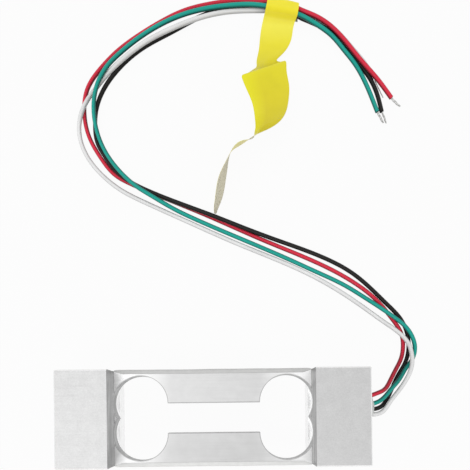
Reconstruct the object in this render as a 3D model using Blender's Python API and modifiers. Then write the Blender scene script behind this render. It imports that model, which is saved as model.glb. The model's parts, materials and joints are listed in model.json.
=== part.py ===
"""Single point load cell: a milled bar with strain gauges sealed on its flexures, and four loose leads.

Lengths are in metres. X runs along the bar towards the leads, Y across it in the direction of the load,
and Z up from the table that the cell lies on. The origin is the middle of the bar's underside.

The bar is hollowed from both flat sides to a thin web. Four overlapping round holes and a slot cut the web
into a frame whose long edges are thinnest over the holes: those are the flexures. A gauge is bonded on the
outside of each one, wired to a terminal strip, and covered by a bead of silicone. Thin leads go from the
strips through slanted passages into a pocket in the end face, where sleeves join them to the cable leads.
"""
import math

import bmesh
import bpy
import numpy as np

MM = 0.001

# Bar
BAR_LENGTH = 70 * MM
BAR_WIDTH = 22 * MM
BAR_HEIGHT = 15 * MM
EDGE_CHAMFER = 0.3 * MM
END_BLOCK_LENGTH = 12 * MM
RECESS_OFFSET = -0.3 * MM
WEB_THICKNESS = 2.8 * MM
FLEXURE_STEP = 0.65 * MM
STEP_RAMP = 1.8 * MM

# Cut-out through the web
LOBE_RADIUS = 6.4 * MM
LOBE_FROM_WALL = 5.8 * MM
LOBE_OFFSET = -0.1 * MM
FLEXURE_THICKNESS = 0.4 * MM
SLOT_WIDTH = 7.0 * MM
LOBE_UNDERCUT = 1.6 * MM
LOBE_SIDES = 96

# Tapped mounting holes, at their tapping size
TAP_DIAMETER = 2.5 * MM
TAP_DEPTH = 7.5 * MM
TAP_FROM_END = 6.0 * MM
TAP_SPACING = 8.0 * MM
TAP_SIDES = 24

# Pocket in the end face, where the leads go in
POCKET_DIAMETER = 5.0 * MM
POCKET_DEPTH = 8.0 * MM
POCKET_Y = 2.3 * MM
POCKET_SIDES = 32
PASSAGE_DIAMETER = 1.6 * MM
PASSAGE_SIDES = 16
PASSAGE_START_DEPTH = 6.4 * MM
PASSAGE_START_OFFSET = 1.5 * MM
PASSAGE_MOUTH_X = 1.0 * MM
PASSAGE_MOUTH_DEPTH = 0.25 * MM

# Strain gauges
SEAT_GAP = 0.02 * MM
FILM_LENGTH = 5.8 * MM
FILM_WIDTH = 1.8 * MM
FILM_THICKNESS = 0.06 * MM
FILM_CORNER = 0.3 * MM
FILM_SHIFT = 0.5 * MM
FOIL_THICKNESS = 0.03 * MM
GRID_LINES = 8
GRID_LENGTH = 3.0 * MM
GRID_PITCH = 0.16 * MM
GRID_LINE = 0.08 * MM
TAB_REACH = 1.2 * MM
TAB_WIDTH = 0.5 * MM
TAB_SPREAD = 0.4 * MM

# Terminal strips and the thin leads
STRIP_LENGTH = 9.0 * MM
STRIP_WIDTH = 1.8 * MM
STRIP_THICKNESS = 0.2 * MM
LEAD_DIAMETER = 0.16 * MM
LEAD_SPREAD = 0.3 * MM
LEAD_WIDE_SPREAD = 0.9 * MM
SHARE_OF_TAB = 0.7
SHARE_OF_STRIP_WIDTH = 0.4
SHARES_OF_PASSAGE = (0.1, 0.4, 0.75)
STRIP_LEAD_POINTS = 7
BODY_LEAD_POINTS = 30

# Silicone
BEAD_PROUD = 0.5 * MM
BEAD_GAP = 0.03 * MM
BEAD_MARGIN = 0.05 * MM
BEAD_INSET = 0.1 * MM
BEAD_ROUND = 0.15 * MM
CHANNEL_WIDTH = 2.2 * MM
CHANNEL_DEPTH = 0.5 * MM
CHANNEL_ROOF = 0.24 * MM
DOME_DIAMETER = 8.5 * MM
DOME_HEIGHT = 3.1 * MM
DOME_ARC_STEPS = 8
DOME_SIDES = 32
PLUG_DEPTH = 2.8 * MM
PLUG_GAP = 0.05 * MM
WIRE_BORE_GAP = 0.06 * MM
WIRE_BORE_REACH = 10 * MM

# Cable leads
WIRE_DIAMETER = 0.96 * MM
ROUTE_SAMPLES = 1600
WIRE_POINTS = 78
WIRE_CHORD_SAG = 0.03 * MM
WIRE_SHORTEST_STEP = 1.3 * MM
WIRE_LONGEST_STEP = 3.6 * MM
STRAND_DIAMETER = 0.5 * MM
STRAND_SIDES = 8
STRAND_POINTS = 6
STRAND_GAP = 0.05 * MM
INNER_STRAND_LENGTH = 1.5 * MM
SLEEVE_DIAMETER = 1.04 * MM
SLEEVE_BORE = 0.74 * MM
SLEEVE_LENGTH = 2.2 * MM
SLEEVE_SIDES = 12
SLEEVE_START_DEPTH = 6.2 * MM

# Marking tape
TAPE_THICKNESS = 0.08 * MM
TAPE_LOWEST = 0.05 * MM
TAPE_STATION_STEPS = 3
TAPE_COLUMNS = 4

# Below, points are in millimetres: X from the bar's end face, Y from its middle line and Z from the table

# Routes of the cable leads, from the pocket to the stripped end
BLACK_ROUTE = [
    (-3.4, 1.6, 7.5), (0.2, 1.5, 7.5), (4.3, 1.9, 6.6), (6, 3, 5.5), (7.6, 5.2, 4.5),
    (10.7, 10.3, 2.6), (12.1, 12.2, 1.9), (13.4, 14.6, 1.1), (14, 17.2, 0.6), (13.2, 22.2, 0.5),
    (11.9, 24.6, 0.5), (8.9, 27.9, 0.5), (0.1, 36, 0.5), (-8.7, 40.7, 0.6), (-19.4, 44.6, 1),
    (-27.2, 47.4, 1.5), (-35.2, 50.6, 1.6), (-51.1, 56.9, 1.6), (-58.2, 61, 1.6), (-60.8, 63.8, 1.4),
    (-62.5, 66.5, 1), (-64.1, 69.4, 0.6), (-64.8, 74.2, 0.5), (-64.4, 78.5, 0.5), (-58.2, 89.1, 0.5),
    (-52.2, 94, 0.5), (-45.1, 97.8, 0.5), (-37.2, 101.8, 0.5), (-29.1, 104, 0.5), (-24.5, 104.1, 0.5),
    (-22, 103.9, 0.8), (-19.8, 103.6, 1.5), (-17, 102.7, 1.7), (-12.4, 101, 0.6), (-8.7, 99.4, 0.5),
    (-4.8, 97.2, 0.5), (1.8, 89.8, 0.5), (4.9, 85.5, 0.6), (6.7, 81.5, 0.6), (7.9, 76.9, 0.5),
]
RED_ROUTE = [
    (-3.4, 4.1, 7.5), (0.2, 4.3, 7.5), (3.9, 5.4, 6.9), (5.6, 6.1, 6.1), (7.9, 8.6, 4.4),
    (10.1, 11.7, 2.6), (12, 14.7, 1.1), (12.6, 17.7, 0.6), (12.4, 20, 0.5), (9.7, 24.7, 0.5),
    (7.3, 27.8, 0.5), (1.1, 33.2, 0.5), (-3.4, 36, 0.5), (-21.8, 44.4, 0.5), (-28.5, 47.4, 0.5),
    (-35.3, 50.5, 0.5), (-44.9, 54.6, 0.5), (-51.4, 57.3, 0.5), (-56, 59.4, 0.5), (-59.8, 61.6, 0.5),
    (-63.3, 65.8, 0.5), (-66.4, 71.6, 0.5), (-67.5, 77.7, 0.5), (-66.6, 83.6, 0.5), (-63, 88.9, 0.5),
    (-58.9, 93, 0.5), (-54.3, 96.4, 0.5), (-48.2, 100.1, 0.5), (-41.5, 103.2, 0.5), (-35.8, 104.6, 0.5),
    (-29.1, 105.4, 0.5), (-22.2, 105.1, 0.6), (-17.5, 104.1, 1.2), (-15.1, 103.1, 1.7), (-12.8, 102, 1.7),
    (-8.9, 100.4, 1.6), (-5.1, 97.9, 1.6), (2.6, 89, 1.6), (6.3, 84.8, 1.5), (10.4, 80.3, 0.6),
]
GREEN_ROUTE = [
    (-3.4, 2.7, 7.5), (0.2, 2.6, 7.5), (3.9, 3.3, 7.2), (5.6, 4.4, 6.6), (7.6, 6.4, 5.8),
    (10, 8.7, 4.5), (12.3, 11.6, 3), (14.2, 13.9, 2.2), (15.1, 16.9, 1.8), (14.5, 19.6, 1.7),
    (13.3, 21.7, 1.6), (9.2, 25.2, 1.6), (6.5, 27.1, 1.6), (3.2, 29.6, 0.9), (-2, 33, 0.6),
    (-8.8, 36.3, 0.7), (-15.9, 39.5, 1), (-40, 50.1, 1.2), (-44.8, 52.4, 1.4), (-51, 55.7, 2.5),
    (-53.2, 57, 2.7), (-58.8, 62.2, 2.5), (-63.5, 70.4, 1.6), (-64.7, 76.4, 1.7), (-63.7, 83.5, 2),
    (-61.5, 87.4, 2.2), (-58.2, 91.4, 1.7), (-53.4, 95.3, 1.6), (-41.9, 101.2, 1.6), (-29, 103.2, 1.8),
    (-22.3, 103, 1.8), (-17.6, 101.7, 2), (-15.1, 101, 2.1), (-12.3, 100.4, 1.7), (-9, 98.6, 1.6),
    (-5, 96.2, 1.1), (-1.5, 92.2, 1), (0.7, 89.5, 0.9), (5, 81.5, 0.6), (6.8, 76.9, 0.5),
]
WHITE_ROUTE = [
    (-3.4, 0.5, 7.5), (0.2, 0.4, 7.5), (4.8, 0.8, 6.9), (6.9, 3, 6.2), (9, 5.3, 5.3),
    (12.5, 10, 4.3), (13.5, 12.7, 3.8), (13.7, 15.5, 3), (13.4, 17.5, 2.4), (12.6, 19.2, 1.8),
    (11.2, 20.7, 1.6), (7.8, 23.6, 0.7), (5.3, 25.5, 0.5), (-4.2, 32.1, 0.5), (-12.3, 36.6, 0.5),
    (-26.5, 42.8, 0.5), (-33.6, 45.9, 0.5), (-40.1, 48.9, 0.5), (-53, 54.9, 0.5), (-58.1, 57.6, 0.5),
    (-63.2, 61.7, 0.5), (-67.1, 66.8, 0.5), (-68.7, 72.9, 1), (-67.6, 77.4, 1.6), (-64.1, 84, 0.7),
    (-61.5, 86.6, 1.2), (-58.6, 89, 1.6), (-52, 94.1, 1.6), (-44.9, 97.7, 1.6), (-37.9, 100.4, 1.5),
    (-30.8, 102.3, 1), (-22.3, 102.9, 0.6), (-20, 102.9, 0.6), (-17.5, 103, 0.6), (-14.9, 102.9, 0.6),
    (-12.6, 102.3, 0.6), (-4.8, 98.7, 0.5), (1, 92.6, 0.5), (3.3, 89.8, 0.5), (6.1, 85.5, 0.5),
]

# Where each stripped tip ends
STRAND_TIPS = {
    "black": [(8.6, 75.4, 0.4), (9.1, 74.1, 0.3)],
    "red": [(11.6, 79.2, 0.4), (12.7, 78.4, 0.3)],
    "green": [(7.6, 75.5, 0.4), (8.4, 74.2, 0.3)],
    "white": [(6.9, 83.8, 0.3), (8.4, 80.6, 0.3)],
}

# The tape's two edges, as pairs: under, round and over the leads, then along its free tail
TAPE_WRAP = [
    ((-20.7, 102.1, 0.05), (-13.1, 100.4, 0.05)), ((-20.7, 103.4, 0.05), (-13.1, 101.6, 0.05)),
    ((-20.7, 104.8, 0.05), (-13.1, 102.8, 0.05)), ((-20.7, 105.6, 0.3), (-13.1, 103.2, 0.35)),
    ((-20.7, 105.9, 0.95), (-13.1, 103.3, 1.2)), ((-20.7, 105.7, 1.7), (-13.1, 103.2, 2.1)),
    ((-20.75, 105, 2.3), (-13.1, 102.6, 2.6)), ((-20.95, 103.5, 2.7), (-13.2, 101.5, 2.75)),
    ((-21.2, 102.2, 2.85), (-13.35, 100.6, 2.85)), ((-21.5, 101, 2.6), (-13.55, 99.7, 2.5)),
]
TAPE_TAIL = [
    ((-21.8, 100.3, 1.7), (-13.95, 99.2, 1.6)), ((-22.2, 99, 1.1), (-14.3, 98.3, 1)),
    ((-22.8, 95.5, 0.9), (-14.8, 95.5, 0.8)), ((-23.2, 92, 1.3), (-15.8, 93.2, 0.9)),
    ((-23.8, 88.3, 2.4), (-17.9, 90.2, 1.8)), ((-24.6, 86, 3.3), (-18.8, 88.2, 2.9)),
    ((-26.4, 84, 4.3), (-18, 87.1, 3.9)), ((-27.6, 82.8, 4.9), (-16.9, 86.5, 4.8)),
    ((-27.4, 82.1, 4.8), (-16.7, 84.8, 4.9)), ((-26.6, 80.5, 4.3), (-16.1, 81.1, 4.6)),
    ((-25, 77.4, 3.2), (-16.2, 77.5, 4.8)), ((-24.3, 74.2, 1.9), (-17.2, 73.4, 5.2)),
    ((-24.2, 72.9, 1), (-18.4, 71.5, 5.6)), ((-24.4, 71.9, 0.5), (-21.4, 69.1, 6.2)),
    ((-24.5, 71.3, 0.2), (-24.8, 67.3, 6.6)), ((-26.9, 70, 0.2), (-27.3, 66.4, 6.6)),
    ((-29.3, 68.9, 0.2), (-29.4, 65, 6.6)), ((-30.3, 67.9, 0.2), (-30.2, 63.9, 6.6)),
    ((-30.9, 66.2, 0.2), (-31.2, 62.1, 6.6)), ((-31.4, 63.3, 0.2), (-32.5, 59.7, 6.5)),
    ((-31.8, 60.7, 0.2), (-33.5, 57.3, 6.4)), ((-32.3, 57.7, 0.2), (-34.1, 54.6, 6)),
    ((-33.1, 54.9, 0.2), (-34.5, 52.9, 4.4)), ((-33.9, 53, 0.2), (-34.8, 51.9, 2.6)),
    ((-34.4, 51.7, 0.2), (-34.8, 51.4, 1)),
]

# Places worked out from the sizes above
MID_Z = BAR_HEIGHT / 2
RECESS_LENGTH = BAR_LENGTH - 2 * END_BLOCK_LENGTH
WEB_LOW = MID_Z - WEB_THICKNESS / 2
WEB_HIGH = MID_Z + WEB_THICKNESS / 2
RECESS_LEFT = RECESS_OFFSET - RECESS_LENGTH / 2
RECESS_RIGHT = RECESS_OFFSET + RECESS_LENGTH / 2
BAR_END = BAR_LENGTH / 2
BAR_SIDE = BAR_WIDTH / 2
EDGE_Y = BAR_SIDE - FLEXURE_STEP
LOBE_X = RECESS_LENGTH / 2 - LOBE_FROM_WALL
LOBE_Y = EDGE_Y - FLEXURE_THICKNESS - LOBE_RADIUS
FLEXURE_X = {"left": LOBE_OFFSET - LOBE_X, "right": LOBE_OFFSET + LOBE_X}
SLEEVE_START = BAR_END - SLEEVE_START_DEPTH
# The sides as the sign of Y, and the ends as the direction from each one towards the middle of the bar
SIDES = {"upper": 1, "lower": -1}
ENDS = {"left": 1, "right": -1}
FILM_Y = EDGE_Y + SEAT_GAP + FILM_THICKNESS / 2
FOIL_Y = FILM_Y + FILM_THICKNESS / 2 + SEAT_GAP + FOIL_THICKNESS / 2
STRIP_Y = EDGE_Y + SEAT_GAP + STRIP_THICKNESS / 2
LEAD_ON_FOIL_Y = FOIL_Y + FOIL_THICKNESS / 2 + SEAT_GAP + LEAD_DIAMETER / 2
LEAD_ON_STRIP_Y = STRIP_Y + STRIP_THICKNESS / 2 + SEAT_GAP + LEAD_DIAMETER / 2
WIRE_ROUTES = {"black": BLACK_ROUTE, "red": RED_ROUTE, "green": GREEN_ROUTE, "white": WHITE_ROUTE}
SIDE_WIRES = {"upper": ("red", "green"), "lower": ("black", "white")}

# Name: colour, roughness and metallic value
FINISHES = {
    "aluminium": ((0.78, 0.78, 0.79), 0.35, 1.0),
    "polyimide": ((0.72, 0.40, 0.10), 0.35, 0.0),
    "constantan": ((0.62, 0.55, 0.42), 0.3, 1.0),
    "laminate": ((0.10, 0.30, 0.12), 0.45, 0.0),
    "enamelled_copper": ((0.55, 0.22, 0.08), 0.3, 1.0),
    "silicone": ((0.84, 0.85, 0.84), 0.4, 0.0),
    "shrink_sleeve": ((0.03, 0.03, 0.03), 0.5, 0.0),
    "tinned_copper": ((0.72, 0.72, 0.70), 0.3, 1.0),
    "black_pvc": ((0.02, 0.02, 0.02), 0.4, 0.0),
    "red_pvc": ((0.58, 0.03, 0.08), 0.4, 0.0),
    "green_pvc": ((0.01, 0.33, 0.26), 0.4, 0.0),
    "white_pvc": ((0.75, 0.76, 0.75), 0.4, 0.0),
    "yellow_film": ((0.82, 0.70, 0.03), 0.4, 0.0),
}


def clear_scene():
    """Remove what the start-up scene holds."""
    for item in list(bpy.data.objects):
        bpy.data.objects.remove(item)


def make_collection(name):
    """Return a new collection in the scene."""
    collection = bpy.data.collections.new(name)
    bpy.context.scene.collection.children.link(collection)
    return collection


def make_material(name, finish):
    """Return a Principled material for one sub-part."""
    colour, roughness, metallic = FINISHES[finish]
    material = bpy.data.materials.new(name + "_" + finish)
    material.use_nodes = True
    shader = material.node_tree.nodes["Principled BSDF"]
    shader.inputs["Base Color"].default_value = (*colour, 1.0)
    shader.inputs["Roughness"].default_value = roughness
    shader.inputs["Metallic"].default_value = metallic
    return material


def add_part(item, name, finish):
    """Name a finished object, colour it and file it with the load cell."""
    item.name = name
    item.data.name = name
    item.data.materials.append(make_material(name, finish))
    PARTS.objects.link(item)
    return item


def add_cutter(item, name):
    """File an object with the cutters, out of the model."""
    item.name = name
    item.hide_render = True
    item.display_type = "WIRE"
    CUTTERS.objects.link(item)
    return item


def cut(target, cutter):
    """Take the cutter's volume away from the target."""
    boolean = target.modifiers.new(cutter.name, "BOOLEAN")
    boolean.operation = "DIFFERENCE"
    boolean.solver = "EXACT"
    boolean.object = cutter


def bevel(item, width, segments=1):
    """Break every sharp edge of an object."""
    edges = item.modifiers.new("edges", "BEVEL")
    edges.width = width
    edges.segments = segments
    edges.limit_method = "ANGLE"
    edges.angle_limit = math.radians(40)


def mesh_object(name, mesh_maker):
    """Return an object around a mesh that a bmesh function fills."""
    mesh = bpy.data.meshes.new(name)
    shape = bmesh.new()
    mesh_maker(shape)
    shape.to_mesh(mesh)
    shape.free()
    return bpy.data.objects.new(name, mesh)


def block(name, low, high):
    """A box between two corners, from a cube primitive."""
    size = [high[i] - low[i] for i in range(3)]
    middle = [(high[i] + low[i]) / 2 for i in range(3)]

    def fill(shape):
        bmesh.ops.create_cube(shape, size=1.0)
        bmesh.ops.scale(shape, vec=size, verts=shape.verts)

    item = mesh_object(name, fill)
    item.location = middle
    return item


def rod(name, start, end, radius, sides):
    """A cylinder from one point to another, from a cone primitive."""
    start = np.array(start)
    along = np.array(end) - start

    def fill(shape):
        bmesh.ops.create_cone(shape, cap_ends=True, segments=sides, radius1=radius, radius2=radius,
                              depth=float(np.linalg.norm(along)))

    item = mesh_object(name, fill)
    item.location = start + along / 2
    item.rotation_euler = direction_angles(along)
    return item


def direction_angles(along):
    """Euler angles that turn +Z onto a direction."""
    flat = math.hypot(along[0], along[1])
    return (0.0, math.atan2(flat, along[2]), math.atan2(along[1], along[0]))


def plate(name, outline, thickness, place, angles=(0, 0, 0)):
    """A flat outline extruded to both sides of its plane, made a mesh."""
    curve = bpy.data.curves.new(name, "CURVE")
    curve.dimensions = "2D"
    curve.fill_mode = "BOTH"
    curve.extrude = thickness / 2
    spline = curve.splines.new("POLY")
    spline.points.add(len(outline) - 1)
    for point, (x, y) in zip(spline.points, outline):
        point.co = (x, y, 0, 1)
    spline.use_cyclic_u = True
    item = bpy.data.objects.new(name, curve)
    item.location = place
    item.rotation_euler = angles
    solid = made_mesh(item)
    join_flat_faces(solid.data)
    return solid


def made_mesh(item):
    """Swap a curve object for a mesh one with its caps welded."""
    bpy.context.scene.collection.objects.link(item)
    bpy.context.view_layer.update()
    evaluated = item.evaluated_get(bpy.context.evaluated_depsgraph_get())
    mesh = bpy.data.meshes.new_from_object(evaluated)
    shape = bmesh.new()
    shape.from_mesh(mesh)
    bmesh.ops.remove_doubles(shape, verts=shape.verts, dist=1e-7)
    bmesh.ops.recalc_face_normals(shape, faces=shape.faces)
    shape.to_mesh(mesh)
    shape.free()
    solid = bpy.data.objects.new(item.name, mesh)
    solid.matrix_world = item.matrix_world.copy()
    bpy.data.objects.remove(item)
    return solid


def join_flat_faces(mesh):
    """Make each flat side one face, so that a bevel follows its outline only."""
    shape = bmesh.new()
    shape.from_mesh(mesh)
    bmesh.ops.dissolve_limit(shape, angle_limit=math.radians(1), verts=shape.verts, edges=shape.edges)
    shape.to_mesh(mesh)
    shape.free()


def turned(name, profile, steps, place, angles):
    """A profile of (radius, height) points, top to bottom, turned about the object's Z."""
    mesh = bpy.data.meshes.new(name)
    edges = [(i, i + 1) for i in range(len(profile) - 1)]
    mesh.from_pydata([(r, 0, h) for r, h in profile], edges, [])
    item = bpy.data.objects.new(name, mesh)
    item.location = place
    item.rotation_euler = angles
    screw = item.modifiers.new("turn", "SCREW")
    screw.steps = steps
    screw.render_steps = steps
    screw.use_merge_vertices = True
    screw.merge_threshold = 1e-6
    screw.use_smooth_shade = True
    return item


def beside_bar(points):
    """Points in metres in the bar's own axes, from millimetres off its end face."""
    placed = np.array(points, float) * MM
    placed[..., 0] += BAR_END
    return placed


def lead_route(colour):
    """A lead's route in metres, which leaves the bar at half its height and comes down to the table."""
    placed = beside_bar(WIRE_ROUTES[colour])
    height = placed[:, 2].copy()
    placed[:, 2] += (MID_Z - height[0]) * (height / height[0]) ** 2
    return placed


def smooth_curve(points, count):
    """Points on the natural cubic spline through the route, spaced by its chord length."""
    points = np.array(points, float)
    knots = np.concatenate([[0], np.cumsum(np.linalg.norm(np.diff(points, axis=0), axis=1))])
    gaps = np.diff(knots)
    size = len(points)
    matrix = np.eye(size)
    right = np.zeros((size, 3))
    slopes = np.diff(points, axis=0) / gaps[:, None]
    for i in range(1, size - 1):
        matrix[i, i - 1:i + 2] = gaps[i - 1], 2 * (gaps[i - 1] + gaps[i]), gaps[i]
        right[i] = 6 * (slopes[i] - slopes[i - 1])
    bends = np.linalg.solve(matrix, right)
    at = np.linspace(0, knots[-1], count)
    k = np.clip(np.searchsorted(knots, at, side="right") - 1, 0, size - 2)
    before = (at - knots[k])[:, None]
    gap = gaps[k][:, None]
    after = gap - before
    cubic = (bends[k] * after ** 3 + bends[k + 1] * before ** 3) / (6 * gap)
    start = (points[k] / gap - bends[k] * gap / 6) * after
    end = (points[k + 1] / gap - bends[k + 1] * gap / 6) * before
    return cubic + start + end


def wire_points(colour):
    """Points along a lead, closer together where it bends, and never under the table."""
    fine = smooth_curve(lead_route(colour), ROUTE_SAMPLES)
    fine[:, 2] = np.maximum(fine[:, 2], WIRE_DIAMETER / 2 + SEAT_GAP)
    first = np.gradient(fine, axis=0)
    second = np.gradient(first, axis=0)
    speed = np.linalg.norm(first, axis=1)
    bending = np.linalg.norm(np.cross(first, second), axis=1)
    bend_radius = speed ** 3 / np.maximum(bending, np.finfo(float).tiny)
    step = np.clip(np.sqrt(8 * bend_radius * WIRE_CHORD_SAG), WIRE_SHORTEST_STEP, WIRE_LONGEST_STEP)
    spent = np.concatenate([[0], np.cumsum(speed[1:] / step[1:])])
    wanted = np.linspace(0, spent[-1], WIRE_POINTS)
    return np.stack([np.interp(wanted, spent, fine[:, axis]) for axis in range(3)], axis=1)


def tube(name, points, radius):
    """A round lead along the points, eight-sided, with filled caps."""
    curve = bpy.data.curves.new(name, "CURVE")
    curve.dimensions = "3D"
    curve.bevel_depth = radius
    curve.bevel_resolution = 2
    curve.use_fill_caps = True
    curve.render_resolution_u = 0
    spline = curve.splines.new("POLY")
    spline.points.add(len(points) - 1)
    for point, place in zip(spline.points, points):
        point.co = (*place, 1)
    return bpy.data.objects.new(name, curve)


def thicken(path, widths):
    """Outline of a flat strip: each point moves half its width to either side, mitred at corners."""
    path = np.array(path)
    along = np.diff(path, axis=0)
    along /= np.linalg.norm(along, axis=1)[:, None]
    across = np.stack([-along[:, 1], along[:, 0]], axis=1)
    dots = np.sum(across[1:] * across[:-1], axis=1)[:, None]
    inner = (across[1:] + across[:-1]) / (1 + dots)
    offsets = np.vstack([across[:1], inner, across[-1:]]) * np.array(widths)[:, None] / 2
    return [tuple(p) for p in path + offsets] + [tuple(p) for p in (path - offsets)[::-1]]


def rounded_rectangle(length, width, corner, arc_steps=4):
    """Outline of a rectangle with quarter-circle corners."""
    outline = []
    for quarter in range(4):
        middle = math.pi / 4 + quarter * math.pi / 2
        centre_x = math.copysign(length / 2 - corner, math.cos(middle))
        centre_y = math.copysign(width / 2 - corner, math.sin(middle))
        for step in range(arc_steps + 1):
            angle = (quarter + step / arc_steps) * math.pi / 2
            outline.append((centre_x + corner * math.cos(angle), centre_y + corner * math.sin(angle)))
    return outline


def edge_outline(side, step_y, ramp_y, inset, outer_y):
    """Outline over one long edge of the web: low over the flexures, ramped up to both walls."""
    start_x, end_x = RECESS_LEFT + inset, RECESS_RIGHT - inset
    outline = [(start_x, ramp_y), (RECESS_LEFT + STEP_RAMP, step_y), (RECESS_RIGHT - STEP_RAMP, step_y),
               (end_x, ramp_y), (end_x, outer_y), (start_x, outer_y)]
    return [(x, side * y) for x, y in outline]


def passage_ends(side):
    """Inner end and mouth of the slanted passage towards one long edge."""
    inner = (BAR_END - PASSAGE_START_DEPTH, POCKET_Y + side * PASSAGE_START_OFFSET, MID_Z)
    mouth = (RECESS_RIGHT - PASSAGE_MOUTH_X, side * (BAR_SIDE - PASSAGE_MOUTH_DEPTH), MID_Z)
    return np.array(inner), np.array(mouth)


def cut_recesses(bar):
    """Mill the bar down to its web from both flat sides."""
    over = EDGE_CHAMFER * 4
    heights = {"recess_top": (WEB_HIGH, BAR_HEIGHT + over), "recess_bottom": (-over, WEB_LOW)}
    for name, (low_z, high_z) in heights.items():
        low = (RECESS_LEFT, -BAR_SIDE - over, low_z)
        high = (RECESS_RIGHT, BAR_SIDE + over, high_z)
        cut(bar, add_cutter(block(name, low, high), name))


def cut_web_edges(bar):
    """Step the web's long edges in, so that the gauges sit on thin flexures below the bar's sides."""
    for name, side in SIDES.items():
        outline = edge_outline(side, EDGE_Y, BAR_SIDE, 0, BAR_SIDE + FLEXURE_STEP)
        cutter = plate(name + "_step", outline, WEB_THICKNESS + 2 * LOBE_UNDERCUT, (0, 0, MID_Z))
        cut(bar, add_cutter(cutter, name + "_step"))


def cut_lobes(bar):
    """Bore the four overlapping holes and the slot between them.

    The cutter is taller than the web is thick, so its rim also grooves the end walls.
    """
    low_z, high_z = WEB_LOW - LOBE_UNDERCUT, WEB_HIGH + LOBE_UNDERCUT
    for end, x in FLEXURE_X.items():
        for name, side in SIDES.items():
            y = side * LOBE_Y
            label = f"{end}_{name}_lobe"
            lobe = rod(label, (x, y, low_z), (x, y, high_z), LOBE_RADIUS, LOBE_SIDES)
            cut(bar, add_cutter(lobe, label))
    low = (FLEXURE_X["left"], -SLOT_WIDTH / 2, low_z)
    high = (FLEXURE_X["right"], SLOT_WIDTH / 2, high_z)
    cut(bar, add_cutter(block("slot", low, high), "slot"))


def cut_tapped_holes(bar):
    """Drill the blind mounting holes, two in each end of both loaded faces."""
    for end, sign in ENDS.items():
        x = -sign * (BAR_END - TAP_FROM_END)
        for name, side in SIDES.items():
            for row in (-1, 1):
                z = MID_Z + row * TAP_SPACING / 2
                label = f"{end}_{name}_tap_{'low' if row < 0 else 'high'}"
                mouth = (x, side * (BAR_SIDE + EDGE_CHAMFER), z)
                bottom = (x, side * (BAR_SIDE - TAP_DEPTH), z)
                cut(bar, add_cutter(rod(label, bottom, mouth, TAP_DIAMETER / 2, TAP_SIDES), label))


def cut_lead_ways(bar):
    """Drill the pocket in the end face and the slanted passages to both long edges."""
    pocket_start = (BAR_END - POCKET_DEPTH, POCKET_Y, MID_Z)
    pocket_end = (BAR_END + EDGE_CHAMFER, POCKET_Y, MID_Z)
    pocket = rod("pocket", pocket_start, pocket_end, POCKET_DIAMETER / 2, POCKET_SIDES)
    cut(bar, add_cutter(pocket, "pocket"))
    for name, side in SIDES.items():
        inner, mouth = passage_ends(side)
        beyond = mouth + (mouth - inner) / np.linalg.norm(mouth - inner) * PASSAGE_DIAMETER
        label = name + "_passage"
        cut(bar, add_cutter(rod(label, inner, beyond, PASSAGE_DIAMETER / 2, PASSAGE_SIDES), label))


def build_bar():
    """The milled bar, one piece of aluminium."""
    stock = block("elastic_body", (-BAR_END, -BAR_SIDE, 0), (BAR_END, BAR_SIDE, BAR_HEIGHT))
    bar = add_part(stock, "elastic_body", "aluminium")
    bevel(bar, EDGE_CHAMFER)
    cut_recesses(bar)
    cut_web_edges(bar)
    cut_lobes(bar)
    cut_tapped_holes(bar)
    cut_lead_ways(bar)


def grid_outline(sign):
    """Outline of a gauge grid: parallel lines joined end to end, with a tab at each end of the path."""
    path = []
    for line in range(GRID_LINES):
        height = (line - (GRID_LINES - 1) / 2) * GRID_PITCH
        ends = [GRID_LENGTH / 2, -GRID_LENGTH / 2]
        if line % 2:
            ends.reverse()
        path += [(x, height) for x in ends]
    tab_x = GRID_LENGTH / 2 + TAB_REACH
    path = [(tab_x, -TAB_SPREAD)] + path + [(tab_x, TAB_SPREAD)]
    widths = [TAB_WIDTH] + [GRID_LINE] * (2 * GRID_LINES) + [TAB_WIDTH]
    return [(sign * x, y) for x, y in thicken(path, widths)]


def build_gauges():
    """Four gauges, each a polyimide film with its foil grid, bonded over the flexures."""
    film = rounded_rectangle(FILM_LENGTH, FILM_WIDTH, FILM_CORNER)
    on_edge = (math.pi / 2, 0, 0)
    for end, sign in ENDS.items():
        for name, side in SIDES.items():
            label = f"{name}_{end}_gauge"
            x = FLEXURE_X[end]
            place = (x + sign * FILM_SHIFT, side * FILM_Y, MID_Z)
            carrier = plate(label + "_film", film, FILM_THICKNESS, place, on_edge)
            add_part(carrier, label + "_film", "polyimide")
            place = (x, side * FOIL_Y, MID_Z)
            foil = plate(label + "_foil", grid_outline(sign), FOIL_THICKNESS, place, on_edge)
            add_part(foil, label + "_foil", "constantan")


def build_strips():
    """A terminal strip between the gauges of each long edge."""
    outline = rounded_rectangle(STRIP_LENGTH, STRIP_WIDTH, FILM_CORNER)
    for name, side in SIDES.items():
        place = (LOBE_OFFSET, side * STRIP_Y, MID_Z)
        strip = plate(name + "_terminal_strip", outline, STRIP_THICKNESS, place, (math.pi / 2, 0, 0))
        add_part(strip, name + "_terminal_strip", "laminate")


def gauge_lead_route(end, side, row):
    """From a gauge tab to the near end of the terminal strip."""
    sign = ENDS[end]
    tab_x = FLEXURE_X[end] + sign * (GRID_LENGTH / 2 + TAB_REACH * SHARE_OF_TAB)
    strip_x = LOBE_OFFSET - sign * (STRIP_LENGTH / 2 - TAB_REACH)
    z = MID_Z + row * TAB_SPREAD
    foil_y, strip_y = side * LEAD_ON_FOIL_Y, side * LEAD_ON_STRIP_Y
    return [(tab_x, foil_y, z), ((tab_x + strip_x) / 2, strip_y, z), (strip_x, strip_y, z)]


def sleeve_place(colour):
    """Y and Z of a lead in the pocket, from its route's first point."""
    return tuple(lead_route(colour)[0, 1:])


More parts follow.
